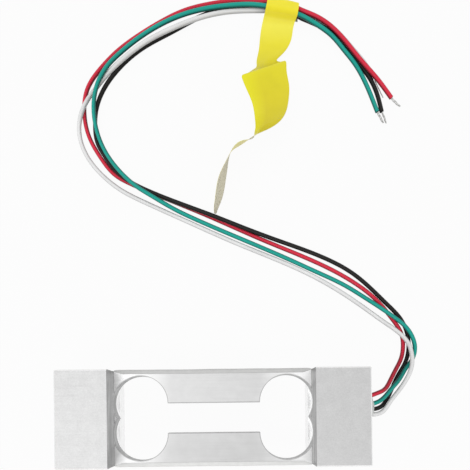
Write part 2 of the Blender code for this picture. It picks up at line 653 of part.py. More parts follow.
def body_lead_route(colour, side, row):
    """From a terminal strip past the gauge, down the passage and into the sleeve of its cable lead."""
    inner, mouth = passage_ends(side)
    y, z = sleeve_place(colour)
    wide = MID_Z + row * LEAD_WIDE_SPREAD
    close = MID_Z + row * LEAD_SPREAD
    strip_y = side * LEAD_ON_STRIP_Y
    ramp_x = RECESS_RIGHT - STEP_RAMP
    down = [tuple(mouth + (inner - mouth) * share)[:2] + (close,) for share in SHARES_OF_PASSAGE]
    return [
        (STRIP_LENGTH / 4, strip_y, MID_Z + row * STRIP_WIDTH * SHARE_OF_STRIP_WIDTH),
        (STRIP_LENGTH / 2 + TAB_REACH, strip_y, wide),
        (FLEXURE_X["right"] - FILM_LENGTH / 2 - TAB_REACH, strip_y, wide),
        (FLEXURE_X["right"] + FILM_LENGTH / 2 - TAB_REACH, strip_y, wide),
        (ramp_x, side * (LEAD_ON_STRIP_Y + LEAD_DIAMETER), (wide + close) / 2),
        *down,
        (SLEEVE_START - LEAD_DIAMETER, (y * 3 + down[-1][1]) / 4, (z + close) / 2),
        (SLEEVE_START + SLEEVE_LENGTH / 4, y, z),
    ]


def build_thin_leads():
    """Enamelled leads: two from each gauge to its strip, and two from each strip to the pocket."""
    for name, side in SIDES.items():
        for row, label in ((-1, "a"), (1, "b")):
            for end in ENDS:
                node = f"{name}_{end}_gauge_lead_{label}"
                points = smooth_curve(gauge_lead_route(end, side, row), STRIP_LEAD_POINTS)
                add_part(tube(node, points, LEAD_DIAMETER / 2), node, "enamelled_copper")
            colour = SIDE_WIRES[name][(row + 1) // 2]
            points = smooth_curve(body_lead_route(colour, side, row), BODY_LEAD_POINTS)
            node = f"{colour}_body_lead"
            add_part(tube(node, points, LEAD_DIAMETER / 2), node, "enamelled_copper")


def build_sleeves():
    """In the pocket, a sleeve over each joint and the stripped inner end of its cable lead."""
    for colour in WIRE_ROUTES:
        y, z = sleeve_place(colour)
        half = SLEEVE_LENGTH / 2
        outer, bore = SLEEVE_DIAMETER / 2, SLEEVE_BORE / 2
        profile = [(bore, half), (outer, half), (outer, -half), (bore, -half), (bore, half)]
        place = (SLEEVE_START + half, y, z)
        sleeve = turned(colour + "_sleeve", profile, SLEEVE_SIDES, place, (0, math.pi / 2, 0))
        add_part(sleeve, colour + "_sleeve", "shrink_sleeve")
        end_x = lead_route(colour)[0, 0] - STRAND_GAP
        start = (end_x - INNER_STRAND_LENGTH, y, z)
        label = colour + "_inner_strands"
        strands = rod(label, start, (end_x, y, z), STRAND_DIAMETER / 2, STRAND_SIDES)
        add_part(strands, label, "tinned_copper")


def build_beads():
    """A bead of silicone over the gauges and strip of each long edge, hollow underneath for them."""
    for name, side in SIDES.items():
        outer_y = BAR_SIDE + BEAD_PROUD
        outline = edge_outline(side, EDGE_Y + BEAD_GAP, BAR_SIDE + BEAD_GAP, BEAD_INSET, outer_y)
        bead = plate(name + "_sealant", outline, WEB_THICKNESS - 2 * BEAD_MARGIN, (0, 0, MID_Z))
        add_part(bead, name + "_sealant", "silicone")
        bevel(bead, BEAD_ROUND, 2)
        low_x, high_x = RECESS_LEFT + STEP_RAMP, RECESS_RIGHT - STEP_RAMP
        half = CHANNEL_WIDTH / 2
        ways = {
            name + "_channel": (low_x, high_x, EDGE_Y + BEAD_GAP + CHANNEL_DEPTH),
            name + "_lead_way": (high_x - half, RECESS_RIGHT, outer_y - CHANNEL_ROOF),
        }
        for label, (x0, x1, top) in ways.items():
            near, far = sorted((side * (EDGE_Y - FLEXURE_STEP), side * top))
            way = block(label, (x0, near, MID_Z - half), (x1, far, MID_Z + half))
            cut(bead, add_cutter(way, label))


def build_exit_sealant():
    """The silicone dome over the pocket, with a plug in its mouth, bored by the four leads."""
    radius, rise = DOME_DIAMETER / 2, DOME_HEIGHT - BEAD_GAP
    arc = np.linspace(0, math.pi / 2, DOME_ARC_STEPS + 1)
    dome = [(radius * math.sin(a), BEAD_GAP + rise * math.cos(a)) for a in arc]
    plug_radius = POCKET_DIAMETER / 2 - PLUG_GAP
    profile = dome + [(plug_radius, BEAD_GAP), (plug_radius, -PLUG_DEPTH), (0, -PLUG_DEPTH)]
    place = (BAR_END, POCKET_Y, MID_Z)
    sealant = turned("exit_sealant", profile, DOME_SIDES, place, (0, math.pi / 2, 0))
    add_part(sealant, "exit_sealant", "silicone")
    for colour in WIRE_ROUTES:
        points = wire_points(colour)
        count = int(np.argmin(points[:, 0] < BAR_END + WIRE_BORE_REACH))
        bore = made_mesh(tube(colour + "_bore", points[:count], WIRE_DIAMETER / 2 + WIRE_BORE_GAP))
        cut(sealant, add_cutter(bore, colour + "_bore"))


def build_wires():
    """The four cable leads and their stripped, tinned outer ends."""
    for colour in WIRE_ROUTES:
        points = wire_points(colour)
        add_part(tube(colour + "_wire", points, WIRE_DIAMETER / 2), colour + "_wire", colour + "_pvc")
        last = points[-1]
        along = (last - points[-2]) / np.linalg.norm(last - points[-2])
        bare = np.vstack([last + along * STRAND_GAP, beside_bar(STRAND_TIPS[colour])])
        strands = tube(colour + "_strands", smooth_curve(bare, STRAND_POINTS), STRAND_DIAMETER / 2)
        add_part(strands, colour + "_strands", "tinned_copper")


def build_tape():
    """The marking tape: a grid between its two smooth edges, given the film's thickness."""
    stations = beside_bar(TAPE_WRAP + TAPE_TAIL)
    rows = (len(stations) - 1) * TAPE_STATION_STEPS + 1
    left = smooth_curve(stations[:, 0], rows)
    right = smooth_curve(stations[:, 1], rows)
    columns = np.linspace(0, 1, TAPE_COLUMNS)[None, :, None]
    grid = left[:, None, :] * (1 - columns) + right[:, None, :] * columns
    grid[..., 2] = np.maximum(grid[..., 2], TAPE_LOWEST)
    wide = grid.shape[1]
    faces = [(r * wide + c, r * wide + c + 1, (r + 1) * wide + c + 1, (r + 1) * wide + c)
             for r in range(rows - 1) for c in range(wide - 1)]
    mesh = bpy.data.meshes.new("marking_tape")
    mesh.from_pydata(grid.reshape(-1, 3).tolist(), [], faces)
    tape = add_part(bpy.data.objects.new("marking_tape", mesh), "marking_tape", "yellow_film")
    solid = tape.modifiers.new("thickness", "SOLIDIFY")
    solid.thickness = TAPE_THICKNESS
    solid.offset = 0


clear_scene()
PARTS = make_collection("load_cell")
CUTTERS = make_collection("cutters")
build_bar()
build_gauges()
build_strips()
build_thin_leads()
build_sleeves()
build_beads()
build_exit_sealant()
build_wires()
build_tape()
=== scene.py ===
# %% [markdown]
# # Single point load cell
# A kitchen-scale load cell is a small aluminium bar, milled thin in the middle, with strain gauges glued over
# its thinnest places. Silicone seals the gauges, and four coloured leads come out of one end, tied together
# with a strip of yellow tape. The solids are already made in CAD and are loaded first. This lesson adds what
# CAD leaves plain: smooth leads, twisted strands, soft silicone, creased tape, threads, and every finish.
# All lengths are in metres. X runs along the bar towards the leads and Z is up from the table.

# %% Load the CAD frame
import json
import math

import bmesh
import bpy
import numpy as np
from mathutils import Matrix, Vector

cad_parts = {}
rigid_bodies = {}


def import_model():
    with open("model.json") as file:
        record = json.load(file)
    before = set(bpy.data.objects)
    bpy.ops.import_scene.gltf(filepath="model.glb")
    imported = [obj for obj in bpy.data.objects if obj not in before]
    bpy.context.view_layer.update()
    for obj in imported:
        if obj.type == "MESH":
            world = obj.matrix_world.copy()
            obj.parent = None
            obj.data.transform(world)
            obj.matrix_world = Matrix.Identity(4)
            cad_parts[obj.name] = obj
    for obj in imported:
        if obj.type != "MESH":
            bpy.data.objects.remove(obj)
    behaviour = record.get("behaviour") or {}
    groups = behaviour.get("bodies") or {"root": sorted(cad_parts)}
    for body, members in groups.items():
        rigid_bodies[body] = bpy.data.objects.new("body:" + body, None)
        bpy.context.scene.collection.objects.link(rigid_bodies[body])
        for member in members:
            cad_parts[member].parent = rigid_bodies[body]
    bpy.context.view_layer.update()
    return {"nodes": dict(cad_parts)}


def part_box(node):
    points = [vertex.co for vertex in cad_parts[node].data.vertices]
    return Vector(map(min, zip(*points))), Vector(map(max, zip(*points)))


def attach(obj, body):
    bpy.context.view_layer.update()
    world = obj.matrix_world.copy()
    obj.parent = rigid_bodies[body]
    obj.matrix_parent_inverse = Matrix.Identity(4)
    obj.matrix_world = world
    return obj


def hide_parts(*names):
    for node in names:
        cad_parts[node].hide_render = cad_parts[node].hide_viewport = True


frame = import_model()
MM = 0.001
NODES = frame["nodes"]
BAR_LOW, BAR_HIGH = (np.array(corner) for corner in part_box("elastic_body"))
END_FACE_X = BAR_HIGH[0]
MID_Z = (BAR_LOW[2] + BAR_HIGH[2]) / 2
print(len(NODES), "CAD nodes; the bar runs from", BAR_LOW, "to", BAR_HIGH)

# %% [markdown]
# ## The camera
# The photograph looks straight down from a short distance: both end walls of the milled recess can be seen,
# one on each side, so the lens was close above the bar. A level camera with its picture shifted keeps the
# bar's edges parallel, which turning the camera would not. The height is worked out from the two scales in
# the picture, at the bar's top and at the table.

# %% Camera straight above the bar
CAMERA_PLACE = (4.84 * MM, 1.48 * MM, 107.3 * MM)
CAMERA_TURN = math.radians(-0.65)
LENS = 32.25
SHIFT_Y = 0.3745

camera_data = bpy.data.cameras.new("camera")
camera_data.lens = LENS
camera_data.sensor_width = 36
camera_data.shift_y = SHIFT_Y
camera_data.clip_start = 5 * MM
camera = bpy.data.objects.new("camera", camera_data)
camera.location = CAMERA_PLACE
camera.rotation_euler = (0, 0, CAMERA_TURN)
bpy.context.scene.collection.objects.link(camera)
bpy.context.scene.camera = camera
print("camera", CAMERA_PLACE, "lens", LENS, "mm")

# %% [markdown]
# ## Smooth routes and swept surfaces
# A lead is a round section carried along a line. The line could be a Bezier curve with a bevel, but then the
# cut ends, the twist of the strands and a coordinate that follows the lead would be out of reach. Here the
# line is a cubic spline through a few points, and the surface is a grid of rings worked out as one array.


# %% A smooth line through a route
def spline_through(route, count, by_station=False):
    """Points on the natural cubic spline through a route, at even steps or with as many for every chord.

    Between two route points each coordinate is a cubic of the chord length. Slope and bend agree at every
    point and the bend is zero at both ends, which gives one linear equation for the bend at each point.
    """
    route = np.array(route, float)
    chords = np.linalg.norm(np.diff(route, axis=0), axis=1)
    knots = np.concatenate([[0], np.cumsum(chords)])
    slopes = np.diff(route, axis=0) / chords[:, None]
    own = np.concatenate([[1], 2 * (chords[1:] + chords[:-1]), [1]])
    before = np.concatenate([chords[:-1], [0]])
    after = np.concatenate([[0], chords[1:]])
    wanted = np.zeros_like(route)
    wanted[1:-1] = 6 * np.diff(slopes, axis=0)
    bends = np.linalg.solve(np.diag(own) + np.diag(before, -1) + np.diag(after, 1), wanted)
    at = np.linspace(0, knots[-1], count)
    if by_station:
        at = np.interp(np.linspace(0, len(knots) - 1, count), np.arange(len(knots)), knots)
    k = np.clip(np.searchsorted(knots, at, side="right") - 1, 0, len(route) - 2)
    gone = (at - knots[k])[:, None]
    chord = chords[k][:, None]
    left = chord - gone
    cubic = (bends[k] * left ** 3 + bends[k + 1] * gone ** 3) / (6 * chord)
    start = (route[k] / chord - bends[k] * chord / 6) * left
    end = (route[k + 1] / chord - bends[k + 1] * chord / 6) * gone
    return cubic + start + end


def beside_bar(points):
    """Points in metres in the frame's axes, from millimetres off the bar's end face."""
    return np.array(points, float) * MM + np.array([END_FACE_X, 0, 0])


def length_along(points):
    """Distance from the first point to each point, along the line."""
    steps = np.linalg.norm(np.diff(points, axis=0), axis=1)
    return np.concatenate([[0], np.cumsum(steps)])


def points_at(points, distances):
    """The line's points at the given distances from its start."""
    along = length_along(points)
    return np.stack([np.interp(distances, along, points[:, axis]) for axis in range(3)], axis=1)


print("a straight test route stays straight:", spline_through([(0, 0, 0), (1, 0, 0), (3, 0, 0)], 4)[:, 0])


# %% A grid of points as a mesh
def face_outwards(mesh):
    """Turn every face of a closed mesh outwards."""
    shape = bmesh.new()
    shape.from_mesh(mesh)
    bmesh.ops.recalc_face_normals(shape, faces=shape.faces)
    shape.to_mesh(mesh)
    shape.free()


def make_surface(name, grid, close_rows=False, close_columns=True, caps=False, follow=None):
    """A mesh of the four-sided faces between neighbouring points of a grid, rows by columns.

    Where the surface closes on itself, the last row or column joins the first. Caps add a point in the
    middle of both end rows, with a fan of triangles. follow is a coordinate for each point that a pattern
    may read, kept as the attribute "follow". All faces are turned outwards.
    """
    rows, columns = grid.shape[:2]
    row = np.arange(rows if close_rows else rows - 1)[:, None]
    column = np.arange(columns if close_columns else columns - 1)[None, :]
    next_row, next_column = (row + 1) % rows * columns, (column + 1) % columns
    corners = np.broadcast_arrays(row * columns + column, row * columns + next_column,
                                  next_row + next_column, next_row + column)
    faces = np.stack(corners, axis=-1).reshape(-1, 4).tolist()
    points = grid.reshape(-1, 3)
    follow = None if follow is None else follow.reshape(-1, 3)
    if caps:
        ring = np.arange(columns)
        ring_next = (ring + 1) % columns
        last = (rows - 1) * columns
        tip = np.full(columns, len(points))
        faces += np.stack([tip, ring_next, ring], axis=1).tolist()
        faces += np.stack([tip + 1, last + ring, last + ring_next], axis=1).tolist()
        points = np.vstack([points, grid[0].mean(axis=0), grid[-1].mean(axis=0)])
        follow = None if follow is None else np.vstack([follow, follow[0], follow[-1]])
    mesh = bpy.data.meshes.new(name)
    mesh.from_pydata(points.tolist(), [], faces)
    if follow is not None:
        attribute = mesh.attributes.new("follow", "FLOAT_VECTOR", "POINT")
        attribute.data.foreach_set("vector", follow.ravel())
    face_outwards(mesh)
    return mesh


def add_piece(mesh, slot, *replaced, sharp=math.radians(50)):
    """Put a finished mesh in the scene on the load cell's body, in place of the CAD nodes it stands for."""
    mesh.shade_smooth()
    mesh.set_sharp_from_angle(angle=sharp)
    piece = bpy.data.objects.new(mesh.name, mesh)
    bpy.context.scene.collection.objects.link(piece)
    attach(piece, "root")
    if replaced:
        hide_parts(*replaced)
    return piece


# %% A section carried along a line
UP = np.array([0, 0, 1.0])


def unit(vectors):
    """Vectors of length one."""
    return vectors / np.linalg.norm(vectors, axis=-1, keepdims=True)


def square_to(line):
    """Unit vectors square to a line at each of its points: a level one, and one square to both."""
    heading = unit(np.gradient(line, axis=0))
    across = unit(np.cross(heading, UP))
    return across, np.cross(across, heading)


def swept(name, line, radius, around):
    """A closed tube: at each point of the line stands a ring, square to the line.

    One axis of the ring is level, the other is square to it and to the line. radius is a number for each
    point of each ring, and around the angles of the ring's points. The coordinate that follows the tube is
    (length along it, radius times cosine, radius times sine), as if it had been pulled straight.
    """
    across, over = square_to(line)
    wide, high = radius * np.cos(around), radius * np.sin(around)
    grid = line[:, None] + wide[..., None] * across[:, None] + high[..., None] * over[:, None]
    along = np.broadcast_to(length_along(line)[:, None], wide.shape)
    return make_surface(name, grid, caps=True, follow=np.stack([along, wide, high], axis=-1))


print("square to a line along X:", *square_to(np.array([(0, 0, 0), (1.0, 0, 0)])))

# %% [markdown]
# ## The four leads
# Each lead is stranded copper of about 0.5 mm under PVC, 1.0 mm across, about 0.23 m long, and stripped and
# tinned at its free end. The routes are the same points as in CAD, in millimetres from the bar's end face:
# out of the pocket, down to the table, round in an S, and together through the tape. A physics simulation
# would not find this curve again, because the leads keep the set of the hand that bent them.

# %% Routes, the same as in CAD
BLACK_ROUTE = [
    (-3.4, 1.6, 7.5), (0.2, 1.5, 7.5), (4.3, 1.9, 6.6), (6, 3, 5.5), (7.6, 5.2, 4.5),
    (10.7, 10.3, 2.6), (12.1, 12.2, 1.9), (13.4, 14.6, 1.1), (14, 17.2, 0.6), (13.2, 22.2, 0.5),
    (11.9, 24.6, 0.5), (8.9, 27.9, 0.5), (0.1, 36, 0.5), (-8.7, 40.7, 0.6), (-19.4, 44.6, 1),
    (-27.2, 47.4, 1.5), (-35.2, 50.6, 1.6), (-51.1, 56.9, 1.6), (-58.2, 61, 1.6), (-60.8, 63.8, 1.4),
    (-62.5, 66.5, 1), (-64.1, 69.4, 0.6), (-64.8, 74.2, 0.5), (-64.4, 78.5, 0.5), (-58.2, 89.1, 0.5),
    (-52.2, 94, 0.5), (-45.1, 97.8, 0.5), (-37.2, 101.8, 0.5), (-29.1, 104, 0.5), (-24.5, 104.1, 0.5),
    (-22, 103.9, 0.8), (-19.8, 103.6, 1.5), (-17, 102.7, 1.7), (-12.4, 101, 0.6), (-8.7, 99.4, 0.5),
    (-4.8, 97.2, 0.5), (1.8, 89.8, 0.5), (4.9, 85.5, 0.6), (6.7, 81.5, 0.6), (7.9, 76.9, 0.5),
]
RED_ROUTE = [
    (-3.4, 4.1, 7.5), (0.2, 4.3, 7.5), (3.9, 5.4, 6.9), (5.6, 6.1, 6.1), (7.9, 8.6, 4.4),
    (10.1, 11.7, 2.6), (12, 14.7, 1.1), (12.6, 17.7, 0.6), (12.4, 20, 0.5), (9.7, 24.7, 0.5),
    (7.3, 27.8, 0.5), (1.1, 33.2, 0.5), (-3.4, 36, 0.5), (-21.8, 44.4, 0.5), (-28.5, 47.4, 0.5),
    (-35.3, 50.5, 0.5), (-44.9, 54.6, 0.5), (-51.4, 57.3, 0.5), (-56, 59.4, 0.5), (-59.8, 61.6, 0.5),
    (-63.3, 65.8, 0.5), (-66.4, 71.6, 0.5), (-67.5, 77.7, 0.5), (-66.6, 83.6, 0.5), (-63, 88.9, 0.5),
    (-58.9, 93, 0.5), (-54.3, 96.4, 0.5), (-48.2, 100.1, 0.5), (-41.5, 103.2, 0.5), (-35.8, 104.6, 0.5),
    (-29.1, 105.4, 0.5), (-22.2, 105.1, 0.6), (-17.5, 104.1, 1.2), (-15.1, 103.1, 1.7), (-12.8, 102, 1.7),
    (-8.9, 100.4, 1.6), (-5.1, 97.9, 1.6), (2.6, 89, 1.6), (6.3, 84.8, 1.5), (10.4, 80.3, 0.6),
]
GREEN_ROUTE = [
    (-3.4, 2.7, 7.5), (0.2, 2.6, 7.5), (3.9, 3.3, 7.2), (5.6, 4.4, 6.6), (7.6, 6.4, 5.8),
    (10, 8.7, 4.5), (12.3, 11.6, 3), (14.2, 13.9, 2.2), (15.1, 16.9, 1.8), (14.5, 19.6, 1.7),
    (13.3, 21.7, 1.6), (9.2, 25.2, 1.6), (6.5, 27.1, 1.6), (3.2, 29.6, 0.9), (-2, 33, 0.6),
    (-8.8, 36.3, 0.7), (-15.9, 39.5, 1), (-40, 50.1, 1.2), (-44.8, 52.4, 1.4), (-51, 55.7, 2.5),
    (-53.2, 57, 2.7), (-58.8, 62.2, 2.5), (-63.5, 70.4, 1.6), (-64.7, 76.4, 1.7), (-63.7, 83.5, 2),
    (-61.5, 87.4, 2.2), (-58.2, 91.4, 1.7), (-53.4, 95.3, 1.6), (-41.9, 101.2, 1.6), (-29, 103.2, 1.8),
    (-22.3, 103, 1.8), (-17.6, 101.7, 2), (-15.1, 101, 2.1), (-12.3, 100.4, 1.7), (-9, 98.6, 1.6),
    (-5, 96.2, 1.1), (-1.5, 92.2, 1), (0.7, 89.5, 0.9), (5, 81.5, 0.6), (6.8, 76.9, 0.5),
]
WHITE_ROUTE = [
    (-3.4, 0.5, 7.5), (0.2, 0.4, 7.5), (4.8, 0.8, 6.9), (6.9, 3, 6.2), (9, 5.3, 5.3),
    (12.5, 10, 4.3), (13.5, 12.7, 3.8), (13.7, 15.5, 3), (13.4, 17.5, 2.4), (12.6, 19.2, 1.8),
    (11.2, 20.7, 1.6), (7.8, 23.6, 0.7), (5.3, 25.5, 0.5), (-4.2, 32.1, 0.5), (-12.3, 36.6, 0.5),
    (-26.5, 42.8, 0.5), (-33.6, 45.9, 0.5), (-40.1, 48.9, 0.5), (-53, 54.9, 0.5), (-58.1, 57.6, 0.5),
    (-63.2, 61.7, 0.5), (-67.1, 66.8, 0.5), (-68.7, 72.9, 1), (-67.6, 77.4, 1.6), (-64.1, 84, 0.7),
    (-61.5, 86.6, 1.2), (-58.6, 89, 1.6), (-52, 94.1, 1.6), (-44.9, 97.7, 1.6), (-37.9, 100.4, 1.5),
    (-30.8, 102.3, 1), (-22.3, 102.9, 0.6), (-20, 102.9, 0.6), (-17.5, 103, 0.6), (-14.9, 102.9, 0.6),
    (-12.6, 102.3, 0.6), (-4.8, 98.7, 0.5), (1, 92.6, 0.5), (3.3, 89.8, 0.5), (6.1, 85.5, 0.5),
]
ROUTES = {"black": BLACK_ROUTE, "red": RED_ROUTE, "green": GREEN_ROUTE, "white": WHITE_ROUTE}
STRIPPED_TIPS = {
    "black": [(8.6, 75.4, 0.4), (9.1, 74.1, 0.3)],
    "red": [(11.6, 79.2, 0.4), (12.7, 78.4, 0.3)],
    "green": [(7.6, 75.5, 0.4), (8.4, 74.2, 0.3)],
    "white": [(6.9, 83.8, 0.3), (8.4, 80.6, 0.3)],
}
print({colour: len(route) for colour, route in ROUTES.items()}, "points in the routes")

# %% [markdown]
# The insulation is a plain round tube with a slightly rounded cut at its end. Out of it come the tinned
# strands, which someone has twisted between two fingers: each runs on a loose screw line round the middle of
# the bundle and closes in on it at both ends. Both stay clear of the table by a hair, so nothing sinks in.

# %% Leads and their stripped ends
WIRE_RADIUS = 0.52 * MM
WIRE_CUT_ROUND = 0.12 * MM
WIRE_RING_STEP = 0.6 * MM
WIRE_SIDES = 24
TABLE_CLEARANCE = 0.02 * MM
ROUTE_SAMPLES = 4000
STRAND_RADIUS = 0.09 * MM
STRAND_COUNT = 3
STRAND_SPREADS = {"black": 0.16 * MM, "red": 0.2 * MM, "green": 0.2 * MM, "white": 0.05 * MM}
STRAND_LAY = 5.0 * MM
STRAND_SIDES = 12
STRAND_RINGS = 60


def lead_line(colour):
    """Evenly spaced points along a lead, never under the table."""
    fine = spline_through(beside_bar(ROUTES[colour]), ROUTE_SAMPLES)
    fine[:, 2] = np.maximum(fine[:, 2], WIRE_RADIUS + TABLE_CLEARANCE)
    whole = length_along(fine)[-1]
    body = np.linspace(0, whole - WIRE_CUT_ROUND, round(whole / WIRE_RING_STEP))
    cut = whole - WIRE_CUT_ROUND * np.cos(np.linspace(0.2, math.pi / 2, 6))
    return points_at(fine, np.concatenate([body, cut]))


def lead_mesh(colour, line):
    """The insulation: constant radius, falling along a quarter circle over the last rounded bit."""
    left = length_along(line)[-1] - length_along(line)
    share = np.clip(left / WIRE_CUT_ROUND, 0, 1)
    radius = WIRE_RADIUS - WIRE_CUT_ROUND * (1 - np.sqrt(1 - (1 - share) ** 2))
    around = np.linspace(0, 2 * math.pi, WIRE_SIDES, endpoint=False)
    return swept(colour + "_lead", line, radius[:, None] * np.ones(WIRE_SIDES), around)


def strand_mesh(colour, line, number):
    """One tinned strand: the bundle's middle line plus a screw line round it.

    The screw line's radius is the spread times a power of a sine of the way along, so it is nought at both
    ends, and its angle grows by a whole turn for each lay.
    """
    start = line[-1] - unit(line[-1] - line[-2]) * WIRE_RADIUS
    path = spline_through(np.vstack([start, beside_bar(STRIPPED_TIPS[colour])]), STRAND_RINGS)
    path[:, 2] = np.maximum(path[:, 2], STRAND_SPREADS[colour] + STRAND_RADIUS + TABLE_CLEARANCE)
    along = length_along(path)
    angle = 2 * math.pi * (number / STRAND_COUNT + along / STRAND_LAY)[:, None]
    spread = STRAND_SPREADS[colour] * np.abs(np.sin(math.pi * along / along[-1]))[:, None] ** 0.4
    across, over = square_to(path)
    middle = path + spread * (np.cos(angle) * across + np.sin(angle) * over)
    blunt = np.sqrt(1 - 0.9 * (1 - np.clip((along[-1] - along) / STRAND_RADIUS, 0, 1)) ** 2)
    around = np.linspace(0, 2 * math.pi, STRAND_SIDES, endpoint=False)
    radius = STRAND_RADIUS * blunt[:, None] * np.ones(STRAND_SIDES)
    return swept(f"{colour}_tinned_strand_{number + 1}", middle, radius, around)


leads, strands, lead_lines = {}, {}, {}
for colour in ROUTES:
    line = lead_line(colour)
    lead_lines[colour] = line
    leads[colour] = add_piece(lead_mesh(colour, line), colour + "_insulation", colour + "_wire")
    meshes = [strand_mesh(colour, line, number) for number in range(STRAND_COUNT)]
    strands[colour] = [add_piece(mesh, "tinned_strands", colour + "_strands") for mesh in meshes]
    print(colour, "lead:", round(length_along(line)[-1], 4), "m")

# %% [markdown]
# ## The marking tape
# A strip of yellow film was laid under the four leads, folded over them, and its free tail was left curled
# over itself. Film bends in one direction at a time, so the strip is a ruled surface: two smooth edge lines
# with straight rules between them. Tracing it as a cloth simulation would lose the crisp fold, and a flat
# ribbon with a curve modifier could not turn over. The back of the film is another finish, so the thickness
# is a second sheet joined along the rim, and each sheet carries its side as a value.

# %% Tape between its two edges
TAPE_EDGES = [
    ((-20.7, 102.1, 0.05), (-13.1, 100.4, 0.05)), ((-20.7, 103.4, 0.05), (-13.1, 101.6, 0.05)),
    ((-20.7, 104.8, 0.05), (-13.1, 102.8, 0.05)), ((-20.7, 105.6, 0.3), (-13.1, 103.2, 0.35)),
    ((-20.7, 105.9, 0.95), (-13.1, 103.3, 1.2)), ((-20.7, 105.7, 1.7), (-13.1, 103.2, 2.1)),
    ((-20.75, 105, 2.3), (-13.1, 102.6, 2.6)), ((-20.95, 103.5, 2.7), (-13.2, 101.5, 2.75)),
    ((-21.2, 102.2, 2.85), (-13.35, 100.6, 2.85)), ((-21.5, 101, 2.6), (-13.55, 99.7, 2.5)),
    ((-21.8, 100.3, 1.7), (-13.95, 99.2, 1.6)), ((-22.2, 99, 1.1), (-14.3, 98.3, 1)),
    ((-22.8, 95.5, 0.9), (-14.8, 95.5, 0.8)), ((-23.2, 92, 1.3), (-15.8, 93.2, 0.9)),
    ((-23.8, 88.3, 2.2), (-17.9, 90.2, 1.8)), ((-23.9, 86.7, 2.9), (-18.8, 88.2, 2.9)),
    ((-24.9, 85.4, 3.6), (-18.5, 87.6, 3.4)),
    ((-26.4, 84, 4.3), (-18, 87.1, 3.9)), ((-27.6, 82.8, 4.9), (-16.9, 86.5, 4.8)),
    ((-27.4, 82.1, 4.8), (-16.7, 84.8, 4.9)), ((-26.6, 80.5, 4.3), (-16.1, 81.1, 4.6)),
    ((-25, 77.4, 3.2), (-16.2, 77.5, 4.8)), ((-24.3, 74.2, 1.9), (-17.2, 73.4, 5.2)),
    ((-24.2, 72.9, 1), (-18.4, 71.5, 5.6)), ((-24.4, 71.9, 0.5), (-21.4, 69.1, 6.2)),
    ((-24.5, 71.3, 0.2), (-24.8, 67.3, 6.6)), ((-26.9, 70.4, 0.2), (-27.3, 65.6, 6.6)),
    ((-29.2, 69.3, 0.2), (-29.1, 64.5, 6.6)), ((-30.2, 68, 0.2), (-30.1, 63.8, 6.6)),
    ((-30.9, 66.2, 0.2), (-31.2, 62.1, 6.6)), ((-31.4, 63.3, 0.2), (-32.5, 59.7, 6.5)),
    ((-31.8, 60.7, 0.2), (-33.5, 57.3, 6.4)), ((-32.3, 57.7, 0.2), (-34.1, 54.6, 6)),
    ((-33.1, 54.9, 0.2), (-34.5, 52.9, 4.4)), ((-33.9, 53, 0.2), (-34.8, 51.9, 2.6)),
    ((-34.4, 51.7, 0.2), (-34.8, 51.4, 1)),
]
TAPE_THICKNESS = 0.08 * MM
TAPE_LOWEST = 0.05 * MM
TAPE_WIDTH = 8 * MM
TAPE_COLUMNS = 28
ROWS_PER_STATION = 8
LAST_STATION = len(TAPE_EDGES) - 1
TAPE_ROWS = ROWS_PER_STATION * LAST_STATION + 1


def tape_sheet():
    """Middle of the film: a point moves from the left edge to the right one in equal steps."""
    stations = beside_bar(TAPE_EDGES)
    left = spline_through(stations[:, 0], TAPE_ROWS, by_station=True)
    right = spline_through(stations[:, 1], TAPE_ROWS, by_station=True)
    share = np.linspace(0, 1, TAPE_COLUMNS)[None, :, None]
    return left[:, None] * (1 - share) + right[:, None] * share


def sheet_normals(sheet):
    """Unit vectors square to the sheet, from its two directions."""
    return unit(np.cross(np.gradient(sheet, axis=0), np.gradient(sheet, axis=1)))


def tape_mesh():
    """Two sheets half a thickness to either side, run round as one loop across the strip.

    Each point keeps its station, its way across, and its side: 1 where the adhesive is, 0 on the yellow face.
    """
    sheet = tape_sheet()
    out = sheet_normals(sheet) * TAPE_THICKNESS / 2
    sticky, yellow = sheet - out, sheet + out
    loop = np.concatenate([sticky, yellow[:, ::-1]], axis=1)
    loop[..., 2] = np.maximum(loop[..., 2], TAPE_LOWEST - TAPE_THICKNESS / 2)
    rows, columns = loop.shape[:2]
    station = np.broadcast_to(np.arange(rows)[:, None] / ROWS_PER_STATION, (rows, columns))
    width = np.linspace(0, TAPE_WIDTH, TAPE_COLUMNS)
    across = np.broadcast_to(np.concatenate([width, width[::-1]]), (rows, columns))
    side = np.broadcast_to(np.repeat([1.0, 0.0], TAPE_COLUMNS), (rows, columns))
    return make_surface("yellow_tape", loop, follow=np.stack([station, across, side], axis=-1))


def close_tape_ends(mesh):
    """Join the first and the last row of the loop with a strip of faces across the film."""
    wide = 2 * TAPE_COLUMNS
    last = (TAPE_ROWS - 1) * wide
    column = np.arange(TAPE_COLUMNS - 1)
    ends = []
    for start, order in ((0, 1), (last, -1)):
        strip = np.stack([column, column + 1, wide - 2 - column, wide - 1 - column], axis=1) + start
        ends += strip[:, ::order].tolist()
    shape = bmesh.new()
    shape.from_mesh(mesh)
    shape.verts.ensure_lookup_table()
    for corners in ends:
        shape.faces.new([shape.verts[i] for i in corners])
    shape.to_mesh(mesh)
    shape.free()
    face_outwards(mesh)


mesh = tape_mesh()
close_tape_ends(mesh)
tape = add_piece(mesh, "tape", "marking_tape")
print("tape:", round(length_along(tape_sheet()[:, 0])[-1], 4), "m along its left edge")

# %% [markdown]
# ## Silicone
# A bead of white silicone covers the gauges of each long edge, and a dab fills the pocket where the leads
# come out. Silicone is laid with a nozzle and skins over, so it has a rounded top, a wavy edge and thin lips
# where it was wiped over the corners. The bead is a D-shaped section carried along the bar, with its size
# changing along the way. The dab is a dome on a polar grid with a small rise round each lead.

